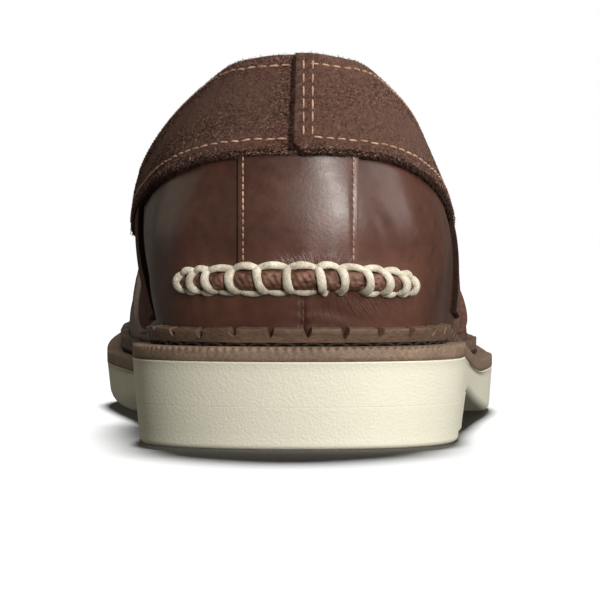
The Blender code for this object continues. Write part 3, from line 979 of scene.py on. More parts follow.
def make_rand():
    """Brown strip standing round the foot of the upper, notched along its top."""
    run, stations_of, notches = notch_runs()
    half = NOTCH_WIDTH * 0.46
    marks = []
    for notch in notches:
        for shift in (-1.12, -1.0, -0.94, -0.12, 0.12, 0.94, 1.0, 1.12):
            marks.append(notch + shift * half)
        for extra in np.linspace(1.12 * half, NOTCH_PITCH - 1.12 * half, 8)[1:-1]:
            marks.append(notch + extra)
    runs = np.sort(np.mod(np.array(marks), run[-1]))
    stations = np.interp(runs, run, stations_of)
    gaps = np.mod(runs[:, None] - notches[None, :] + run[-1] / 2, run[-1]) - run[-1] / 2
    away = np.abs(gaps).min(axis=1)
    uneven = 1 + 0.18 * np.sin(np.abs(gaps).argmin(axis=1) * 2.3)
    cut = NOTCH_DEPTH * uneven * np.clip((1 - away / half) / 0.88, 0, 1)
    sway = 0.00010 * np.sin(runs * 210.0) + 0.00006 * np.sin(runs * 533.0 + 1.0)
    rows = (
        (0.00095, 0.00040),
        (0.00095, 0.00218),
        (0.00108, 0.00236),
        (0.00170, 0.00242),
        (0.00290, 0.00252),
        (0.00392, 0.00264),
        (0.00408, 0.00256),
        (0.00412, 0.00232),
        (0.00405, 0.00020),
    )
    grid = []
    for up, height in rows:
        level = np.minimum(up, RAND_HEIGHT - cut) + sway * (up / RAND_HEIGHT)
        inward = 0.0009 * (cut > 0.0002) * (up > 0.0038)
        grid.append(place(stations, level, np.maximum(height + sway * 0.6 - inward, 0.0002)))
    grid = np.stack(grid, axis=1)
    made = add_mesh("rand_strip", grid, grid_faces(len(runs), len(rows), True), rand_brown)
    made.data.set_sharp_from_angle(angle=SHARP_ANGLE)
    finish_piece(made, "strip_brown", "rand")

    # Painted shade: a near-black sheet fills the gap under the rand, where the rand's shadow falls
    stations = np.interp(spread(0, run[-1], 0.0016)[:-1], run, stations_of)
    profile = ((0.0, 0.0001), (0.0, 0.00150), (0.00095, 0.00165), (0.00110, 0.0002))
    shade = np.stack([place(stations, up, height) for up, height in profile], axis=1)
    made = add_mesh("welt_gap_painted_shade", shade, grid_faces(len(stations), len(profile), True), painted_welt_shade)
    finish_piece(made, "strip_brown")

    paths, radii = [], []
    arch = np.linspace(0, 1, 7)
    pitch = 0.0055
    for k in range(int(run[-1] / pitch)):
        where = (k + mix(0.06, 0.94, arch)) * pitch
        s = np.interp(where, run, stations_of)
        rise = 0.00020 + 0.00070 * np.sin(np.pi * arch)
        paths.append(place(s, rise, 0.00215))
        radii.append(np.full(7, 0.00036))
    made = tubes("welt_stitches", paths, radii, dark_thread, 6)
    finish_piece(made, "strip_brown")


# Soft troughs and small wrinkles of the heel leather, in mm: the start and the end, each as
# a distance round the wall and up it, then width, depth and how much of a ridge runs beside.
CREASES = (
    (-30.0, 40.0, -38.0, 8.0, 5.0, 0.35, 0.3),
    (30.0, 39.0, 40.0, 9.0, 5.5, 0.35, 0.3),
    (-16.5, 34.0, -21.0, 20.0, 1.6, 0.10, 0.6),
    (16.0, 30.0, 20.5, 19.5, 1.5, 0.12, 0.6),
    (-48.0, 24.0, -66.0, 12.0, 4.0, 0.25, 0.4),
    (47.0, 26.0, 64.0, 14.0, 4.0, 0.25, 0.4),
    (2.0, 9.5, 14.0, 6.5, 1.3, 0.12, 0.7),
    (4.0, 7.4, 17.0, 5.2, 1.0, 0.08, 0.7),
    (-6.0, 9.0, -18.0, 6.0, 1.4, 0.10, 0.5),
)
WRAPS = (177.5, 192.0, 207.8, 231.6, 259.6, 288.4, 321.0, 342.6, 367.8, 387.4, 405.0, 415.8)
LEANS = (0.2, 0.4, 1.7, 0.8, 1.8, 1.0, 1.5, 0.4, 0.4, 0.3, 0.5, 0.3)
BOWS = (-1.1, -1.1, -0.8, -0.9, -0.4, -0.6, 0.2, 1.0, 1.0, 1.1, 1.0, 0.9)
HIDDEN = (0.7, 0.8, 0.9, 0.95, 0.85, 0.8, 0.25, 0.2, 0.9, 0.9, 0.95)


def bead_middle(station):
    share = (station - BEAD_ENDS[0]) / (BEAD_ENDS[1] - BEAD_ENDS[0])
    return BEAD_UP - mix(BEAD_DROOP[0], BEAD_DROOP[1], share) * (2 * share - 1) ** 2


def wrap_stations():
    """Stations where the threads cross the bead, from their columns in the photo's frame."""
    stations = np.linspace(-1.9, 1.9, 400)
    point = place(stations, bead_middle(stations), 0.0022)
    column = VIEW_CENTRE + VIEW_FOCAL * point[:, 0] / (VIEW_BACK + point[:, 1])
    return np.interp(WRAPS, column, stations)


WRAP_STATIONS = wrap_stations()
WRAP_RUNS = run_at(WRAP_STATIONS)


def relief(station, up):
    """Height of the leather's creases, puckers and slow waves at places on the wall."""
    run = run_at(station) / MM
    rise = up / MM
    height = np.zeros(np.shape(run))
    for row in CREASES:
        start, end = np.array(row[:2]), np.array(row[2:4])
        way = end - start
        size = np.dot(way, way)
        share = np.clip(((run - start[0]) * way[0] + (rise - start[1]) * way[1]) / size, 0, 1)
        away = np.hypot(run - start[0] - share * way[0], rise - start[1] - share * way[1])
        taper = np.sin(np.pi * np.clip(share * 0.86 + 0.10, 0, 1)) ** 0.8
        width, depth, ridge = row[4:]
        trough = np.exp(-((away / width) ** 2))
        banks = ridge * np.exp(-(((away - 1.7 * width) / width) ** 2))
        height += depth * taper * (banks - trough)
    middle = bead_middle(station) / MM
    inside = smooth(run, WRAP_RUNS[0] / MM - 4, WRAP_RUNS[0] / MM + 1)
    inside = inside * (1 - smooth(run, WRAP_RUNS[-1] / MM - 1, WRAP_RUNS[-1] / MM + 4))
    phase = np.interp(run, WRAP_RUNS / MM, np.arange(len(WRAPS)))
    over = rise - middle - 2.6
    below = middle - 2.6 - rise
    gathers = np.cos(2 * np.pi * phase)
    height -= 0.10 * inside * gathers * np.exp(-np.maximum(over, 0) / 3.2) * (over > -2.6)
    height -= 0.14 * inside * gathers * np.exp(-np.maximum(below, 0) / 3.4) * (below > -2.6)
    near = np.exp(-((rise - middle) / 3.6) ** 2)
    height += 0.35 * inside * near
    height += 0.06 * np.sin(run * 0.21 + 1.3) * np.sin(rise * 0.17 + run * 0.05)
    height += 0.02 * np.sin(run * 0.47 + rise * 0.31)
    return height * MM


def wear_and_highlight_of(station, up):
    """Lighter, rubbed leather over the bead and at the foot, and a painted highlight where the heel
    bulges.
    """
    run = run_at(station) / MM
    rise = up / MM
    middle = bead_middle(station) / MM
    beside = np.exp(-(((rise - middle) / 6.5) ** 2)) * (1 - smooth(np.abs(run), 26, 36))
    # Painted highlight: a lighter patch right of the heel's middle, where the key lamp's highlight
    # falls on the bulge
    bulge = np.exp(-(((run - 7) / 7) ** 2)) * smooth(rise, 18, 24) * (1 - smooth(rise, 34, 46))
    return 0.35 * beside + 0.25 * bulge


def hairlines(station, up):
    """Where fine wrinkles fan from the bead: how deep they are, and the fan's own grid in mm."""
    run = run_at(station) / MM
    rise = up / MM
    middle = bead_middle(station) / MM
    over = rise - middle - 2.4
    below = middle - 2.4 - rise
    centre = 0.85 * np.exp(-(((run - 3.5) / 8.5) ** 2))
    depth = centre * np.exp(-np.maximum(over, 0) / 1.35) * (over > -2.4)
    right = smooth(run, 0.5, 3.0) * (1 - smooth(run, 14.0, 30.0))
    depth = np.maximum(depth, 0.8 * right * np.exp(-np.maximum(below, 0) / 3.0) * (below > -2.4))
    reach = np.maximum(over, below)
    spread_out = 1 + 0.10 * np.maximum(reach, 0)
    fan = np.stack((1.9 * (run - 3.0) / spread_out + 0.35 * np.sin(rise), 0.28 * reach), axis=-1)
    return depth, fan


def with_edges(points, stations, ups, depth):
    """Adds a cut edge: one more line of points, sunk by a depth, at each end of a grid."""
    first = place(stations[:1], ups[:1], -depth)
    last = place(stations[-1:], ups[-1:], -depth)
    return np.concatenate((first, points, last))


def doubled(values):
    """A grid's values with the first and the last line twice, for its cut edges."""
    return np.concatenate((values[:1], values, values[-1:]))


QUARTER_FRONT = (4.75, 4.05)
SEAM_GROOVE_X = 0.00065


def make_quarters():
    """Smooth leather round the heel, from the sole to under the collar band."""
    front_run = run_at(QUARTER_FRONT[0])
    back_run = -run_at(AROUND - QUARTER_FRONT[0])
    dense = 0.050
    runs = np.concatenate(
        (
            spread(-back_run, -dense, 0.0011)[:-1],
            spread(-dense, dense, 0.00045),
            spread(dense, front_run, 0.0011)[1:],
        )
    )
    share = np.linspace(0, 1, 84)
    base = station_at(runs)
    base = np.where(runs < 0, base - AROUND, base)
    lean = (QUARTER_FRONT[0] - QUARTER_FRONT[1]) * smooth(np.abs(base), 2.4, QUARTER_FRONT[0])
    curve = share[None, :] ** 1.25
    stations = base[:, None] - np.sign(base)[:, None] * lean[:, None] * curve
    tops = total_up(stations[:, -1]) - band_width(stations[:, -1]) + 0.0022
    ups = share[None, :] * tops[:, None]
    x = place(stations, ups, 0.0)[..., 0]
    groove = np.exp(-(((x - SEAM_GROOVE_X) / 0.00045) ** 2)) * (ups < BEAD_UP)
    groove = groove * (np.abs(stations) < 1)
    lump = 0.00012 * np.sin(ups / MM * 2.3) * np.exp(-(((x - SEAM_GROOVE_X) / 0.002) ** 2))
    height = relief(stations, ups) - 0.00075 * groove + lump * (np.abs(stations) < 1)
    points = place(stations, ups, height)
    wear_and_highlight = doubled(wear_and_highlight_of(stations, ups))
    wear_and_highlight[0] = wear_and_highlight[-1] = 0.5
    points = with_edges(points, stations, ups, 0.0006)
    depth, fan = (doubled(values) for values in hairlines(stations, ups))
    made = add_mesh(
        "heel_leather",
        points,
        grid_faces(points.shape[0], points.shape[1]),
        leather,
        layers={"wear_and_highlight": wear_and_highlight, "hairlines": depth},
        uv=fan,
    )
    finish_piece(made, "smooth_leather", "upper")


def seam_line(station):
    from_heel = np.minimum(station, AROUND - station)
    return mix(SEAM_LINES[0], SEAM_LINES[1], smooth(from_heel, SEAM_START, SEAM_START + SEAM_CLIMB))


def forward_stations(start, pitch):
    runs = spread(run_at(start), WHOLE_RUN + run_at(AROUND - start), pitch)
    return station_at(runs)


# Soft flex creases over the vamp, in mm from the heel and from the middle, as the shoe would
# be bent in the box: start, end, width and depth.
FLEX = (
    (196.0, -34.0, 200.0, 30.0, 3.2, 0.45),
    (206.0, -30.0, 208.0, 27.0, 3.0, 0.35),
    (186.0, -30.0, 189.0, 26.0, 3.4, 0.30),
    (214.0, -22.0, 217.0, 20.0, 2.6, 0.22),
)


def flex(points):
    """Depth of the flex creases at points of the vamp."""
    x = points[..., 0] / MM
    y = points[..., 1] / MM
    height = np.zeros(x.shape)
    for y0, x0, y1, x1, width, depth in FLEX:
        share = np.clip((x - x0) / (x1 - x0), 0, 1)
        bow = 3.0 * np.sin(np.pi * share)
        away = np.abs(y - mix(y0, y1, share) - bow)
        taper = np.sin(np.pi * np.clip(share, 0.0, 1.0)) ** 0.7
        height -= depth * taper * np.exp(-((away / width) ** 2))
        height += 0.5 * depth * taper * np.exp(-(((away - 1.8 * width) / width) ** 2))
    return height * MM


def puckers(stations, ups, seam_ups, amount, reach):
    """Gathers beside the moccasin seam, one to each of its stitches."""
    phase = run_at(stations) / GATHER_PITCH
    fade = np.exp(-np.abs(ups - seam_ups) / reach)
    toe = smooth(np.minimum(stations, AROUND - stations), SEAM_START + GATHERS_AFTER, 9.6)
    return -amount * np.cos(2 * np.pi * phase) * fade * mix(0.04, 1.0, toe)


def make_vamp():
    """Suede apron with wings at the waist, and the leather wall below its seam."""
    stations = forward_stations(3.85, 0.0014)
    rows = 58
    low = np.where(
        np.minimum(stations, AROUND - stations) < SEAM_START,
        up_at(stations, SEAM_LINES[0]) - 0.0008,
        up_at(stations, seam_line(stations)) - 0.0008,
    )
    high = total_up(stations) - band_width(stations) + 0.0018
    share = np.linspace(0, 1, rows)[None, :]
    ups = mix(low[:, None], high[:, None], share)
    grid = np.repeat(stations[:, None], rows, axis=1)
    from_heel = np.minimum(grid, AROUND - grid)
    sunk = 0.00060 * (1 - smooth(from_heel, 4.7, 6.2))
    seam_ups = up_at(stations, seam_line(stations))[:, None]
    base = place(grid, ups, 0.0)
    height = flex(base) + puckers(grid, ups, seam_ups, 0.00022, 0.0045) - sunk
    height = height + 0.00012 * np.sin(run_at(grid) * 95) * np.sin(ups * 140)
    points = place(grid, ups, height)
    made = add_mesh("suede_apron", points, grid_faces(len(stations), rows), suede)
    finish_piece(made, "suede")

    stations = forward_stations(4.35, 0.00085)
    rows = 24
    top = up_at(stations, seam_line(stations)) + 0.0006
    ups = np.linspace(0, 1, rows)[None, :] * top[:, None]
    grid = np.repeat(stations[:, None], rows, axis=1)
    base = place(grid, ups, 0.0)
    height = 0.6 * flex(base) + puckers(grid, ups, top[:, None], 0.00034, 0.0055)
    height = height - 0.00030 * (1 - smooth(np.minimum(grid, AROUND - grid), 5.0, 6.2))
    points = place(grid, ups, height)
    wear_and_highlight = 0.4 * np.exp(-(((ups - top[:, None]) / 0.004) ** 2)) + 0.25 * np.exp(-ups / 0.004)
    made = add_mesh(
        "leather_wall", points, grid_faces(len(stations), rows), leather, layers={"wear_and_highlight": wear_and_highlight}
    )
    finish_piece(made, "smooth_leather")


STRIP_STATIONS = (3.80, 4.45)
STRIP_LOW = 0.0085


def make_side_strips():
    """Suede strip down each side of the waist, from the collar band towards the sole."""
    edges = ((0.0, -0.0004), (0.0, 0.0008), (0.012, 0.0013), (0.05, 0.0014))
    edges = edges + ((0.95, 0.0014), (0.988, 0.0013), (1.0, 0.0008), (1.0, -0.0004))
    for name, sign in (("side_strip_outer", 1), ("side_strip_inner", -1)):
        share = np.concatenate(([0.0, 0.002, 0.02], np.linspace(0.05, 1, 44)))
        columns = []
        for across, level in edges:
            base = mix(STRIP_STATIONS[0], STRIP_STATIONS[1], across)
            stations = base - 0.25 * share
            stations = stations if sign > 0 else AROUND - stations
            tops = total_up(stations) - band_width(stations) + 0.0012
            ups = mix(STRIP_LOW, tops, share) + 0.0006 * math.sin(across * 9) * (1 - share)
            levels = np.full(len(share), level)
            levels[0] = -0.0004
            levels[1] = min(level, 0.0008)
            columns.append(place(stations, ups, levels))
        grid = np.stack(columns, axis=0)
        faces = grid_faces(len(edges), len(share))
        if sign < 0:
            faces = [face[::-1] for face in faces]
        slots = np.zeros((len(edges) - 1, len(share) - 1), int)
        slots[:2] = 1
        slots[-2:] = 1
        made = add_mesh(name, grid, faces, [suede, dark_suede], slots=slots.ravel())
        made.data.set_sharp_from_angle(angle=SHARP_ANGLE)
        finish_piece(made, "suede")


def make_apron_seam():
    """Hand-sewn ridge round the apron, with a thread over it at every gather."""
    stations = forward_stations(SEAM_START, 0.0009)
    middle = up_at(stations, seam_line(stations))
    from_heel = np.minimum(stations, AROUND - stations)
    taper = mix(0.3, 1.0, smooth(from_heel - SEAM_START, 0.0, SEAM_CLIMB))
    phase = np.cos(2 * np.pi * run_at(stations) / GATHER_PITCH)
    pinch = 1 - 0.10 * phase * smooth(from_heel, SEAM_START + GATHERS_AFTER, 9.0)
    risen = smooth(from_heel - SEAM_START, 0.0, 0.25)
    section = (
        (-0.50, -0.10),
        (-0.46, 0.35),
        (-0.34, 0.80),
        (-0.14, 1.04),
        (0.08, 1.08),
        (0.28, 0.92),
        (0.42, 0.55),
        (0.50, -0.10),
    )
    grid = []
    for across, rise in section:
        up = middle + across * SEAM_WIDTH * taper
        height = (0.0002 + rise * (SEAM_RISE + 0.0002) * pinch) * mix(0.5, 1.0, taper)
        grid.append(place(stations, up, mix(-0.0004, np.maximum(height, -0.0004), risen)))
    grid = np.stack(grid, axis=1)
    wear_and_highlight = np.repeat(np.clip(0.35 + 0.2 * phase, 0, 1)[:, None], len(section), axis=1)
    made = add_mesh(
        "seam_ridge",
        grid,
        grid_faces(len(stations), len(section)),
        leather,
        layers={"wear_and_highlight": wear_and_highlight},
    )
    finish_piece(made, "smooth_leather", "apron_seam")

    paths, radii = [], []
    arc = np.linspace(0, 1, 11)
    first = math.ceil(run_at(SEAM_START + SEWN_AFTER) / GATHER_PITCH)
    runs = np.arange(first, 400) * GATHER_PITCH
    runs = runs[runs < WHOLE_RUN + run_at(AROUND - SEAM_START - SEWN_AFTER)]
    for run in runs:
        station = float(station_at(run))
        size = float(np.interp(station, stations, taper))
        mid = float(np.interp(station, stations, middle))
        slant = 0.0007 * (2 * arc - 1)
        up = mid + (arc - 0.5) * (SEAM_WIDTH + 0.0012) * size
        lift = (SEAM_RISE + 0.0006) * size * np.sin(np.pi * np.clip(arc, 0.0, 1.0)) ** 0.55
        paths.append(place(station_at(run + slant), up, lift + 0.00005))
        radii.append(np.full(11, 0.00048))
    made = tubes("seam_threads", paths, radii, rust_thread, 8)
    finish_piece(made, "smooth_leather")


def make_inside():
    """Tan lining inside the shell, and the footbed that lies in it."""
    stations = station_at(spread(0, WHOLE_RUN, 0.0022)[:-1])
    rows = 40
    top = total_up(stations) - 0.0022
    ups = mix(0.0012, 1.0, np.linspace(0, 1, rows)[None, :] ** 0.9) * top[:, None]
    ups = np.maximum(ups, 0.0012)
    grid = np.repeat(stations[:, None], rows, axis=1)
    waves = 0.00015 * np.sin(run_at(grid) * 130) * np.sin(ups * 180)
    points = place(grid, ups, -WALL + 0.0001 + waves)
    faces = [face[::-1] for face in grid_faces(len(stations), rows, True)]
    made = add_mesh("inner_lining", points, faces, lining)
    finish_piece(made, "lining_tan")

    inset = FOOT_INSET + WALL + 3 * GAP

    levels = (
        (inset, 0.0004),
        (inset, 0.0027),
        (inset + 0.0003, 0.0033),
        (inset + 0.0009, 0.0036),
        (inset + 0.0030, 0.0035),
        (inset + 0.0090, 0.0031),
        (inset + 0.0180, 0.0029),
    )
    rings = [
        ring(far, lambda y, lift=high: seat_height(y) + lift, 0.0, steps=120)
        for far, high in levels
    ]
    made = slab("footbed", rings, lining)
    finish_piece(made, "lining_tan", "insole")


BAND_PROFILE = (
    (1.000, 0.00000, 0.00005),
    (1.000, 0.00026, 0.00036),
    (1.000, 0.00020, 0.00078),
    (1.000, -0.00030, 0.00122),
    (1.000, -0.00110, 0.00164),
    (0.900, 0.0, 0.00190),
    (0.820, 0.0, 0.00188),
    (0.740, 0.0, 0.00188),
    (0.660, 0.0, 0.00190),
    (0.580, 0.0, 0.00192),
    (0.500, 0.0, 0.00194),
    (0.420, 0.0, 0.00194),
    (0.340, 0.0, 0.00192),
    (0.260, 0.0, 0.00190),
    (0.190, 0.0, 0.00190),
    (0.130, 0.0, 0.00190),
    (0.000, 0.00220, 0.00190),
    (0.000, 0.00150, 0.00188),
    (0.000, 0.00080, 0.00172),
    (0.000, 0.00025, 0.00135),
    (0.000, -0.00005, 0.00080),
    (0.000, -0.00014, 0.00010),
    (0.000, -0.00008, -0.00070),
    (0.000, 0.00020, -0.00135),
    (0.000, 0.00080, -0.00180),
    (0.000, 0.00200, -0.00205),
    (0.000, 0.00400, -0.00210),
)


def lap_height(station):
    """Extra height of the collar band where its right end lies over its left one."""
    past = station - LAP_STATION
    return LAP_STEP * (1 - smooth(past, 0.25, 0.75))


def make_collar_band():
    """Suede band round the opening, lapped at the centre back, with a rolled top."""
    start = LAP_STATION
    end = AROUND + LAP_STATION + 0.16
    near = np.concatenate((np.linspace(0, 0.05, 6)[:-1], np.linspace(0.05, 1.2, 46)))
    first = start + near
    runs = spread(run_at(start + 1.2), WHOLE_RUN - 0.020, 0.0013)[1:]
    later = station_at(runs)
    last = np.linspace(later[-1], end, 24)[1:]
    stations = np.concatenate((first, later, last))
    past = stations - start
    under = smooth(stations, AROUND + LAP_STATION - 0.35, AROUND + LAP_STATION + 0.05)
    extra = np.where(past < 2, lap_height(stations), 0.0) - 0.00075 * under
    edge_drop = np.exp(-(past / 0.012) ** 2)
    corner = np.exp(-(past / 0.045) ** 2)
    width = band_width(stations)
    ragged = 0.00010 * np.sin(run_at(stations) * 2100) + 0.00016 * np.sin(run_at(stations) * 870)
    columns = []
    for share, shift, height in BAND_PROFILE:
        down = share * width + shift
        down = down + (share > 0.95) * (ragged - 0.0011 * corner)
        level = height + extra * (height > 0.0001)
        level = level - edge_drop * 0.0006 * (height > 0.001)
        level = level + 0.00010 * np.sin(run_at(stations) * 60 + share * 9) * (height > 0.0015)
        ragged_lap = 0.007 * math.sin(share * 41 + shift * 4000) * np.exp(-past / 0.02)
        columns.append(place(stations + ragged_lap, total_up(stations) - down, level))
    grid = np.stack(columns, axis=1)
    tucked = []
    for share, shift, height in BAND_PROFILE:
        down = share * width[:1] + shift - (0.0011 if share > 0.95 else 0.0)
        low = min(height, 0.0004)
        tucked.append(place(stations[:1], total_up(stations[:1]) - down, low))
    grid = np.concatenate((np.stack(tucked, axis=1), grid), axis=0)
    slots = []
    rows = len(BAND_PROFILE)
    for c in range(grid.shape[0] - 1):
        for r in range(rows - 1):
            slots.append(1 if r < 4 or c == 0 else 0)
    made = add_mesh(
        "suede_band", grid, grid_faces(grid.shape[0], rows), [suede, dark_suede], slots=slots
    )
    finish_piece(made, "suede", "collar_band")


def heel_station(x, ups):
    """Stations near the heel whose face has that x, or those, at each distance up the wall."""
    stations = np.linspace(-1.3, 1.3, 105)
    found = []
    for up in ups:
        across = surface(stations, line_at(stations, up))[:, 0]
        found.append(np.interp(x, across, stations))
    return np.array(found)


def make_stay():
    """Leather strip over the back seam, between the bead and the collar band."""
    left = STAY_SHIFT - STAY_WIDTH / 2
    right = STAY_SHIFT + STAY_WIDTH / 2
    xs = np.concatenate(((left,), np.linspace(left + 0.00015, right - 0.00015, 62), (right,)))
    low = BEAD_UP + BEAD_HEIGHT / 2 - 0.0008
    top = float(total_up(0.0) - band_width(0.0)) + 0.0012
    rows = 72
    levels = np.linspace(low, top, rows)
    stations = heel_station(xs, levels).T
    ups = np.repeat(levels[None, :], len(xs), axis=0)
    height = relief(stations, ups) + 0.00095
    height[0] -= 0.00025
    height[-1] -= 0.00025
    fold = np.exp(-(((ups - low) / 0.0012) ** 2))
    height = height - 0.0004 * fold
    dips = np.exp(-(((xs - left - STAY_STITCH_INSET) / 0.0005) ** 2))
    dips = dips + np.exp(-(((right - STAY_STITCH_INSET - xs) / 0.0005) ** 2))
    height = height - 0.00016 * dips[:, None]
    points = place(stations, ups, height)
    wear_and_highlight = wear_and_highlight_of(stations, ups) + 0.25 * np.exp(-(((xs - left) / 0.0004) ** 2))[:, None]
    wear_and_highlight = wear_and_highlight + 0.25 * np.exp(-(((right - xs) / 0.0004) ** 2))[:, None]
    points = with_edges(points, stations, ups, 0.0002)
    wear_and_highlight = doubled(wear_and_highlight)
    depth, fan = (doubled(values) for values in hairlines(stations, ups))
    made = add_mesh(
        "stay_strip",
        points,
        grid_faces(points.shape[0], rows),
        stay_leather,
        layers={"wear_and_highlight": wear_and_highlight, "hairlines": depth},
        uv=fan,
    )
    finish_piece(made, "smooth_leather", "heel_stay")

    paths, radii = [], []
    levels = np.linspace(low + 0.0022, top - 0.0010, 60)
    for x in (left + STAY_STITCH_INSET, right - STAY_STITCH_INSET):
        stations = heel_station(x, levels)
        row = stitch_row(stations, levels, 0.00084, 0.00150, 0.00022, SUNK_STITCH)
        paths += row[0]
        radii += row[1]
    made = tubes("stay_stitches", paths, radii, tan_thread, 6)
    finish_piece(made, "smooth_leather")

    levels = np.linspace(0.0046, BEAD_UP - 0.0028, 30)
    stations = heel_station(SEAM_GROOVE_X, levels)
    paths, radii = stitch_row(stations, levels, -0.0004, 0.0017, 0.00024, SUNK_STITCH)
    made = tubes("back_seam_stitches", paths, radii, seam_thread, 6)
    finish_piece(made, "smooth_leather")


def bead_size(station):
    share = np.clip((station - BEAD_ENDS[0]) / (BEAD_ENDS[1] - BEAD_ENDS[0]), 0, 1)
    return np.maximum(np.maximum(np.sin(np.pi * share), 0) ** 0.22, 0.45)


def make_bead():
    """Roll of leather across the heel, bound with flat cream thread."""
    stations = np.linspace(BEAD_ENDS[0], BEAD_ENDS[1], 620)
    size = bead_size(stations)
    ends = np.minimum(stations - BEAD_ENDS[0], BEAD_ENDS[1] - stations)
    close = np.sqrt(np.clip(ends / 0.035, 0.02, 1))
    run = run_at(stations)
    away = np.abs(run[:, None] - WRAP_RUNS[None, :]).min(axis=1) / MM
    pinch = 1 - 0.24 * np.exp(-((away / 1.1) ** 2))
    angles = np.linspace(-0.12, math.pi + 0.12, 37)
    knots = RNG.normal(0, 1, (int(WHOLE_RUN / MM), 16))
    grid, wear_and_highlight = [], []
    for number, angle in enumerate(angles):
        place_in = np.interp(run / MM * 1.1, np.arange(-60, 60), knots[:120, number // 3 % 16])
        fold = 0.10 * np.sin(run * 730 + 1 + 1.3 * math.cos(angle))
        fold = fold + 0.07 * np.sin(run * 1900 - 2 * angle)
        lumps = 1 + fold + 0.05 * place_in + 0.04 * np.sin(run * 4300 + angle * 5)
        across = -0.5 * math.cos(angle) * (BEAD_HEIGHT - 0.0004) * size * close
        rise = math.sin(angle) * (BEAD_RISE + 0.0001) * size * close * pinch * lumps
        grid.append(place(stations, bead_middle(stations) + across, 0.0002 + rise))
        wear_and_highlight.append(np.clip(0.30 + 1.6 * fold + 0.22 * place_in, 0, 1))
    grid = np.stack(grid, axis=1)
    made = add_mesh(
        "bead_roll",
        grid,
        grid_faces(len(stations), len(angles)),
        bead_leather,
        layers={"wear_and_highlight": np.stack(wear_and_highlight, axis=1)},
    )
    finish_piece(made, "smooth_leather", "heel_bead")

    paths, radii, out = [], [], []
    arc = np.linspace(0, 1, 19)
    half = 0.00268

    def lay(station_run, up, rise, radius, core):
        s = station_at(station_run)
        path = place(s, up, rise)
        middle = np.where(s > AROUND / 2, s - AROUND, s)
        axis = place(s, mix(up, bead_middle(middle), core), -0.0010)
        way = path - axis
        paths.append(path)
        radii.append(radius)
        out.append(way / np.linalg.norm(way, axis=1)[:, None])

    for k, (station, lean, bow) in enumerate(zip(WRAP_STATIONS, LEANS, BOWS)):
        size_here = float(bead_size(station))
        mid = float(bead_middle(station))
        angle = mix(math.pi + 0.10, -0.35, arc)
        up = mid - np.cos(angle) * (half - 0.0001) * size_here
        rise = 0.00035 + np.sin(angle) * (BEAD_RISE + 0.00035) * size_here
        along = run_at(station) + MM * (lean * (arc - 0.5) + bow * (np.sin(np.pi * arc) - 0.6))
        thick = 0.00098 * (1 + 0.07 * np.sin(arc * 9 + k * 1.7) - 0.12 * (2 * arc - 1) ** 4)
        lay(along, up, rise, thick, 1.0)
    for k in range(len(WRAP_STATIONS) - 1):
        a, b = WRAP_RUNS[k], WRAP_RUNS[k + 1]
        top_a = a - MM * (0.5 * LEANS[k] + 0.6 * BOWS[k])
        top_b = b - MM * (0.5 * LEANS[k + 1] + 0.6 * BOWS[k + 1])
        low_a = a + MM * (0.5 * LEANS[k] - 0.6 * BOWS[k])
        low_b = b + MM * (0.5 * LEANS[k + 1] - 0.6 * BOWS[k + 1])
        hump = np.sin(np.pi * arc) ** 0.7
        sway = 0.00012 * math.sin(k * 2.4)
        for side, begin, finish_at in ((1, top_a - 0.0003, top_b + 0.0004), (-1, low_a, low_b)):
            if side < 0:
                finish_at = mix(begin, finish_at, HIDDEN[k])
            along = mix(begin, finish_at, arc)
            s = station_at(along)
            s = np.where(s > AROUND / 2, s - AROUND, s)
            line = bead_middle(s) + side * half * bead_size(s)
            if side > 0:
                up = line + (0.00105 + sway) * hump - 0.00045
                rise = 0.00045 + 0.00105 * hump
                thick = 0.00086 * (0.80 + 0.20 * hump)
            else:
                up = line - (0.00040 + sway) * hump + 0.00010
                rise = 0.00015 + 0.00060 * hump
                thick = 0.00080 * (0.78 + 0.22 * hump)
            lay(along, up, rise, thick * (1 + 0.06 * np.sin(arc * 7 + k)), 0.55)
    made = tubes("bead_thread", paths, radii, cream_thread, 14, out, 0.74)
    finish_piece(made, "smooth_leather")


def band_stitches():
    """Thin rows along the collar band and down its lap."""
    paths, radii = [], []
    radius = 0.00023
    stations = np.concatenate((np.linspace(0.13, 1.2, 60), np.linspace(1.25, AROUND - 0.13, 900)))
    for edge, inset in (("top", 0.0028), ("low", 0.0033)):
        width = band_width(stations)
        down = np.full(stations.shape, inset) if edge == "top" else width - inset
        up = total_up(stations) - down
        extra = np.where(stations < 2, lap_height(stations), 0.0)
        p, r = stitch_row(stations, up, BAND_FACE + extra, 0.00262, radius, FACE_STITCH)
        paths += p
        radii += r
    levels = np.linspace(
        float(total_up(0) - band_width(0)) + 0.0036, float(total_up(0)) - 0.0016, 60
    )
    for x in (0.00070, 0.00250):
        s = heel_station(x, levels)
        p, r = stitch_row(s, levels, BAND_FACE + lap_height(s), 0.00255, radius, FACE_STITCH)
        paths += p
        radii += r
    made = tubes("band_stitches", paths, radii, tan_thread, 6)
    finish_piece(made, "suede")


def fibres(bases, tips, width):
    """Points of thin triangles, one from each base to its tip."""
    way = tips - bases
    side = np.cross(way, RNG.normal(0, 1, way.shape))
    side = side / np.linalg.norm(side, axis=1)[:, None] * width
    return np.stack((bases - side, bases + side, tips), axis=1).reshape(-1, 3)


def add_fibres(name, points, tones):
    faces = np.arange(len(points)).reshape(-1, 3).tolist()
    layers = {"tone": np.repeat(np.clip(tones, 0, 1), 3)}
    finish_piece(add_mesh(name, points, faces, nap_fibre, layers=layers), "suede")


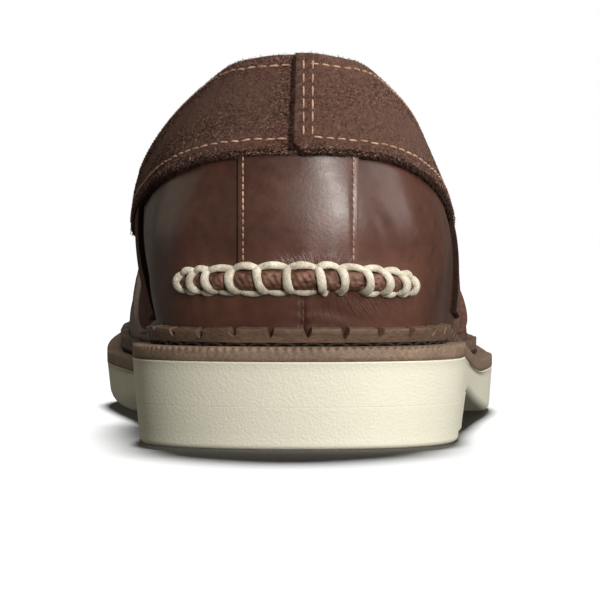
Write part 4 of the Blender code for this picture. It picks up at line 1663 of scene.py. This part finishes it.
def make_fuzz():
    """Loose fibres on the raw lower edge of the collar band, its top and its lapped edge."""
    count = 15000
    stations = RNG.uniform(0, AROUND, count)
    near = RNG.uniform(-4.2, 4.2, count * 2 // 3)
    stations[: count * 2 // 3] = np.mod(near, AROUND)
    width = band_width(stations)
    extra = np.where(stations < 2, lap_height(stations), 0.0)
    bottom = total_up(stations) - width
    level = RNG.uniform(0.0002, 0.0015, count) + extra
    base = place(stations, bottom + RNG.uniform(-0.0001, 0.0005, count), level)
    length = RNG.uniform(0.0002, 0.0010, count)
    tip_up = bottom - length * RNG.uniform(0.3, 1.0, count)
    tip = place(stations + RNG.normal(0, 0.012, count), tip_up, level + RNG.normal(0, 0.0003, count))
    lap = 4200
    ups = RNG.uniform(float(total_up(0) - band_width(0)) + 0.001, float(total_up(0)) - 0.001, lap)
    s_lap = np.full(lap, LAP_STATION) + RNG.uniform(-0.002, 0.004, lap)
    h_lap = RNG.uniform(0.0010, 0.0028, lap)
    base_lap = place(s_lap, ups, h_lap)
    tip_lap = place(
        s_lap - RNG.uniform(0.004, 0.048, lap), ups + RNG.normal(0, 0.0003, lap), h_lap - 0.0001
    )
    bases = np.concatenate((base, base_lap))
    tips = np.concatenate((tip, tip_lap))
    points = fibres(bases, tips, 0.00006)
    add_fibres("suede_fibres", points, RNG.normal(0.12, 0.14, len(bases)))


def make_nap():
    """Short fibres standing over the collar band's face, thickest round the heel."""
    count = 64000
    stations = RNG.uniform(0, AROUND, count)
    stations[: count * 3 // 4] = np.mod(RNG.uniform(-4.4, 4.4, count * 3 // 4), AROUND)
    down = RNG.uniform(0.0002, 1.0, count) * band_width(stations)
    extra = np.where(stations < 2, lap_height(stations), 0.0)
    height = np.interp(down, (0.0002, 0.0008, 0.0018, 1.0), (0.00132, 0.00170, 0.00184, 0.00184))
    height = height + extra
    up = total_up(stations) - down
    base = place(stations, up, height)
    length = RNG.uniform(0.00025, 0.00070, count)
    heading = RNG.uniform(0, 2 * math.pi, count)
    tip = place(
        stations + 0.8 * length * np.cos(heading) / 0.0125,
        up + 0.8 * length * np.sin(heading),
        height + length * RNG.uniform(0.10, 0.55, count),
    )
    tones = RNG.normal(0.40, 0.28, count)
    add_fibres("suede_nap", fibres(base, tip, 0.00008), tones)


make_sole()
make_midsole()
make_rand()
make_quarters()
make_vamp()
make_side_strips()
make_apron_seam()
make_inside()
make_collar_band()
make_stay()
make_bead()
band_stitches()
make_fuzz()
make_nap()


def lamp_angles(way):
    """The rotation that points a lamp along a direction."""
    way = way / np.linalg.norm(way)
    return (math.acos(-way[2]), 0.0, math.atan2(-way[0], way[1]))


def softbox(name, azimuth, elevation, distance, size, power, colour):
    """A lamp round the heel: azimuth 0 is the camera's side, and it grows to the right."""
    a, e = math.radians(azimuth), math.radians(elevation)
    aim = np.array((0.0, -0.12, 0.045))
    way = np.array((math.sin(a) * math.cos(e), -math.cos(a) * math.cos(e), math.sin(e)))
    light = bpy.data.lights.new(name, "AREA")
    light.shape = "RECTANGLE"
    light.size, light.size_y = size
    light.energy = power
    light.color = colour
    lamp = bpy.data.objects.new(name, light)
    lamp.location = aim + distance * way
    lamp.rotation_euler = lamp_angles(-way)
    bpy.context.scene.collection.objects.link(lamp)
    lamp.light_linking.receiver_collection = lit_pieces()


def lit_pieces():
    """The shoe's own pieces, which the softboxes light without washing out its shadow."""
    group = bpy.data.collections.get("shoe_pieces")
    if group is None:
        group = bpy.data.collections.new("shoe_pieces")
        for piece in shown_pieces():
            group.objects.link(piece)
    return group


def plain_emitter(name, colour, strength):
    made = bpy.data.materials.new(name)
    made.use_nodes = True
    shader = made.node_tree.nodes["Principled BSDF"]
    shader.inputs["Base Color"].default_value = (0, 0, 0, 1)
    shader.inputs["Roughness"].default_value = 1.0
    shader.inputs["Specular IOR Level"].default_value = 0.0
    shader.inputs["Emission Color"].default_value = (*colour, 1)
    shader.inputs["Emission Strength"].default_value = strength
    return made


def make_stage():
    """Plain pale floor, white surroundings, soft studio lights and the photo's camera."""
    floor = Finish("floor_paper", (0.32, 0.32, 0.32), 0.95)
    floor.set("Specular IOR Level", 0.0)
    size = 30.0
    mesh = bpy.data.meshes.new("floor")
    corners = [(-size, -size, 0), (size, -size, 0), (size, size, 0), (-size, size, 0)]
    mesh.from_pydata(corners, [], [(0, 1, 2, 3)])
    mesh.materials.append(floor.made)
    ground = bpy.data.objects.new("floor", mesh)
    bpy.context.scene.collection.objects.link(ground)
    ground.visible_diffuse = False
    ground.visible_glossy = False
    ground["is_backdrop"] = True

    mesh = bpy.data.meshes.new("surroundings")
    work = bmesh.new()
    bmesh.ops.create_uvsphere(work, u_segments=48, v_segments=24, radius=29.0)
    work.to_mesh(mesh)
    work.free()
    mesh.materials.append(plain_emitter("white_surroundings", (1, 1, 1), 1.0))
    dome = bpy.data.objects.new("surroundings", mesh)
    bpy.context.scene.collection.objects.link(dome)
    for flag in ("diffuse", "glossy", "transmission", "shadow", "volume_scatter"):
        setattr(dome, "visible_" + flag, False)
    dome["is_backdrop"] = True

    softbox("key", 18, 14, 1.3, (0.12, 0.60), 15.0, (1.0, 0.985, 0.955))
    softbox("front", 30, 30, 1.4, (1.2, 0.8), 1.8, (1.0, 0.99, 0.97))
    softbox("high", 40, 60, 1.4, (1.1, 0.8), 9.5, (1.0, 0.985, 0.96))
    softbox("left", -112, 18, 1.4, (1.3, 0.9), 1.5, (1.0, 0.97, 0.78))
    softbox("far", -140, 54, 1.5, (1.3, 1.3), 2.0, (1.0, 0.96, 0.82))
    softbox("low_left", -44, 8, 1.4, (1.4, 0.9), 0.8, (1.0, 0.98, 0.86))
    softbox("side", 74, 22, 1.4, (1.1, 1.0), 12.5, (1.0, 0.985, 0.95))
    softbox("toe", 180, 70, 1.6, (1.4, 1.4), 4.0, (1.0, 0.99, 0.97))
    sun = bpy.data.lights.new("overhead", "SUN")
    sun.energy = 12.0
    sun.angle = 0.24
    lamp = bpy.data.objects.new("overhead", sun)
    lamp.rotation_euler = lamp_angles(np.array((-0.03, -0.66, -1.0)))
    bpy.context.scene.collection.objects.link(lamp)
    paper = bpy.data.collections.new("floor_only")
    paper.objects.link(ground)
    lamp.light_linking.receiver_collection = paper

    world = bpy.data.worlds.new("studio")
    world.use_nodes = True
    world.node_tree.nodes["Background"].inputs["Color"].default_value = (1.0, 0.94, 0.84, 1)
    world.node_tree.nodes["Background"].inputs["Strength"].default_value = 0.10
    bpy.context.scene.world = world

    camera = bpy.data.cameras.new("photo_camera")
    camera.lens = 180.0
    camera.sensor_width = 36.0
    camera.clip_start = 0.02
    camera.clip_end = 200.0
    holder = bpy.data.objects.new("photo_camera", camera)
    holder.location = (-SHIFT[0], -VIEW_BACK - SHIFT[1], VIEW_UP)
    holder.rotation_euler = (math.radians(90.0) - math.atan(VIEW_DIP / VIEW_FOCAL), 0.0, 0.0)
    bpy.context.scene.collection.objects.link(holder)
    bpy.context.scene.camera = holder
    bpy.context.scene.view_settings.view_transform = "Standard"


make_stage()
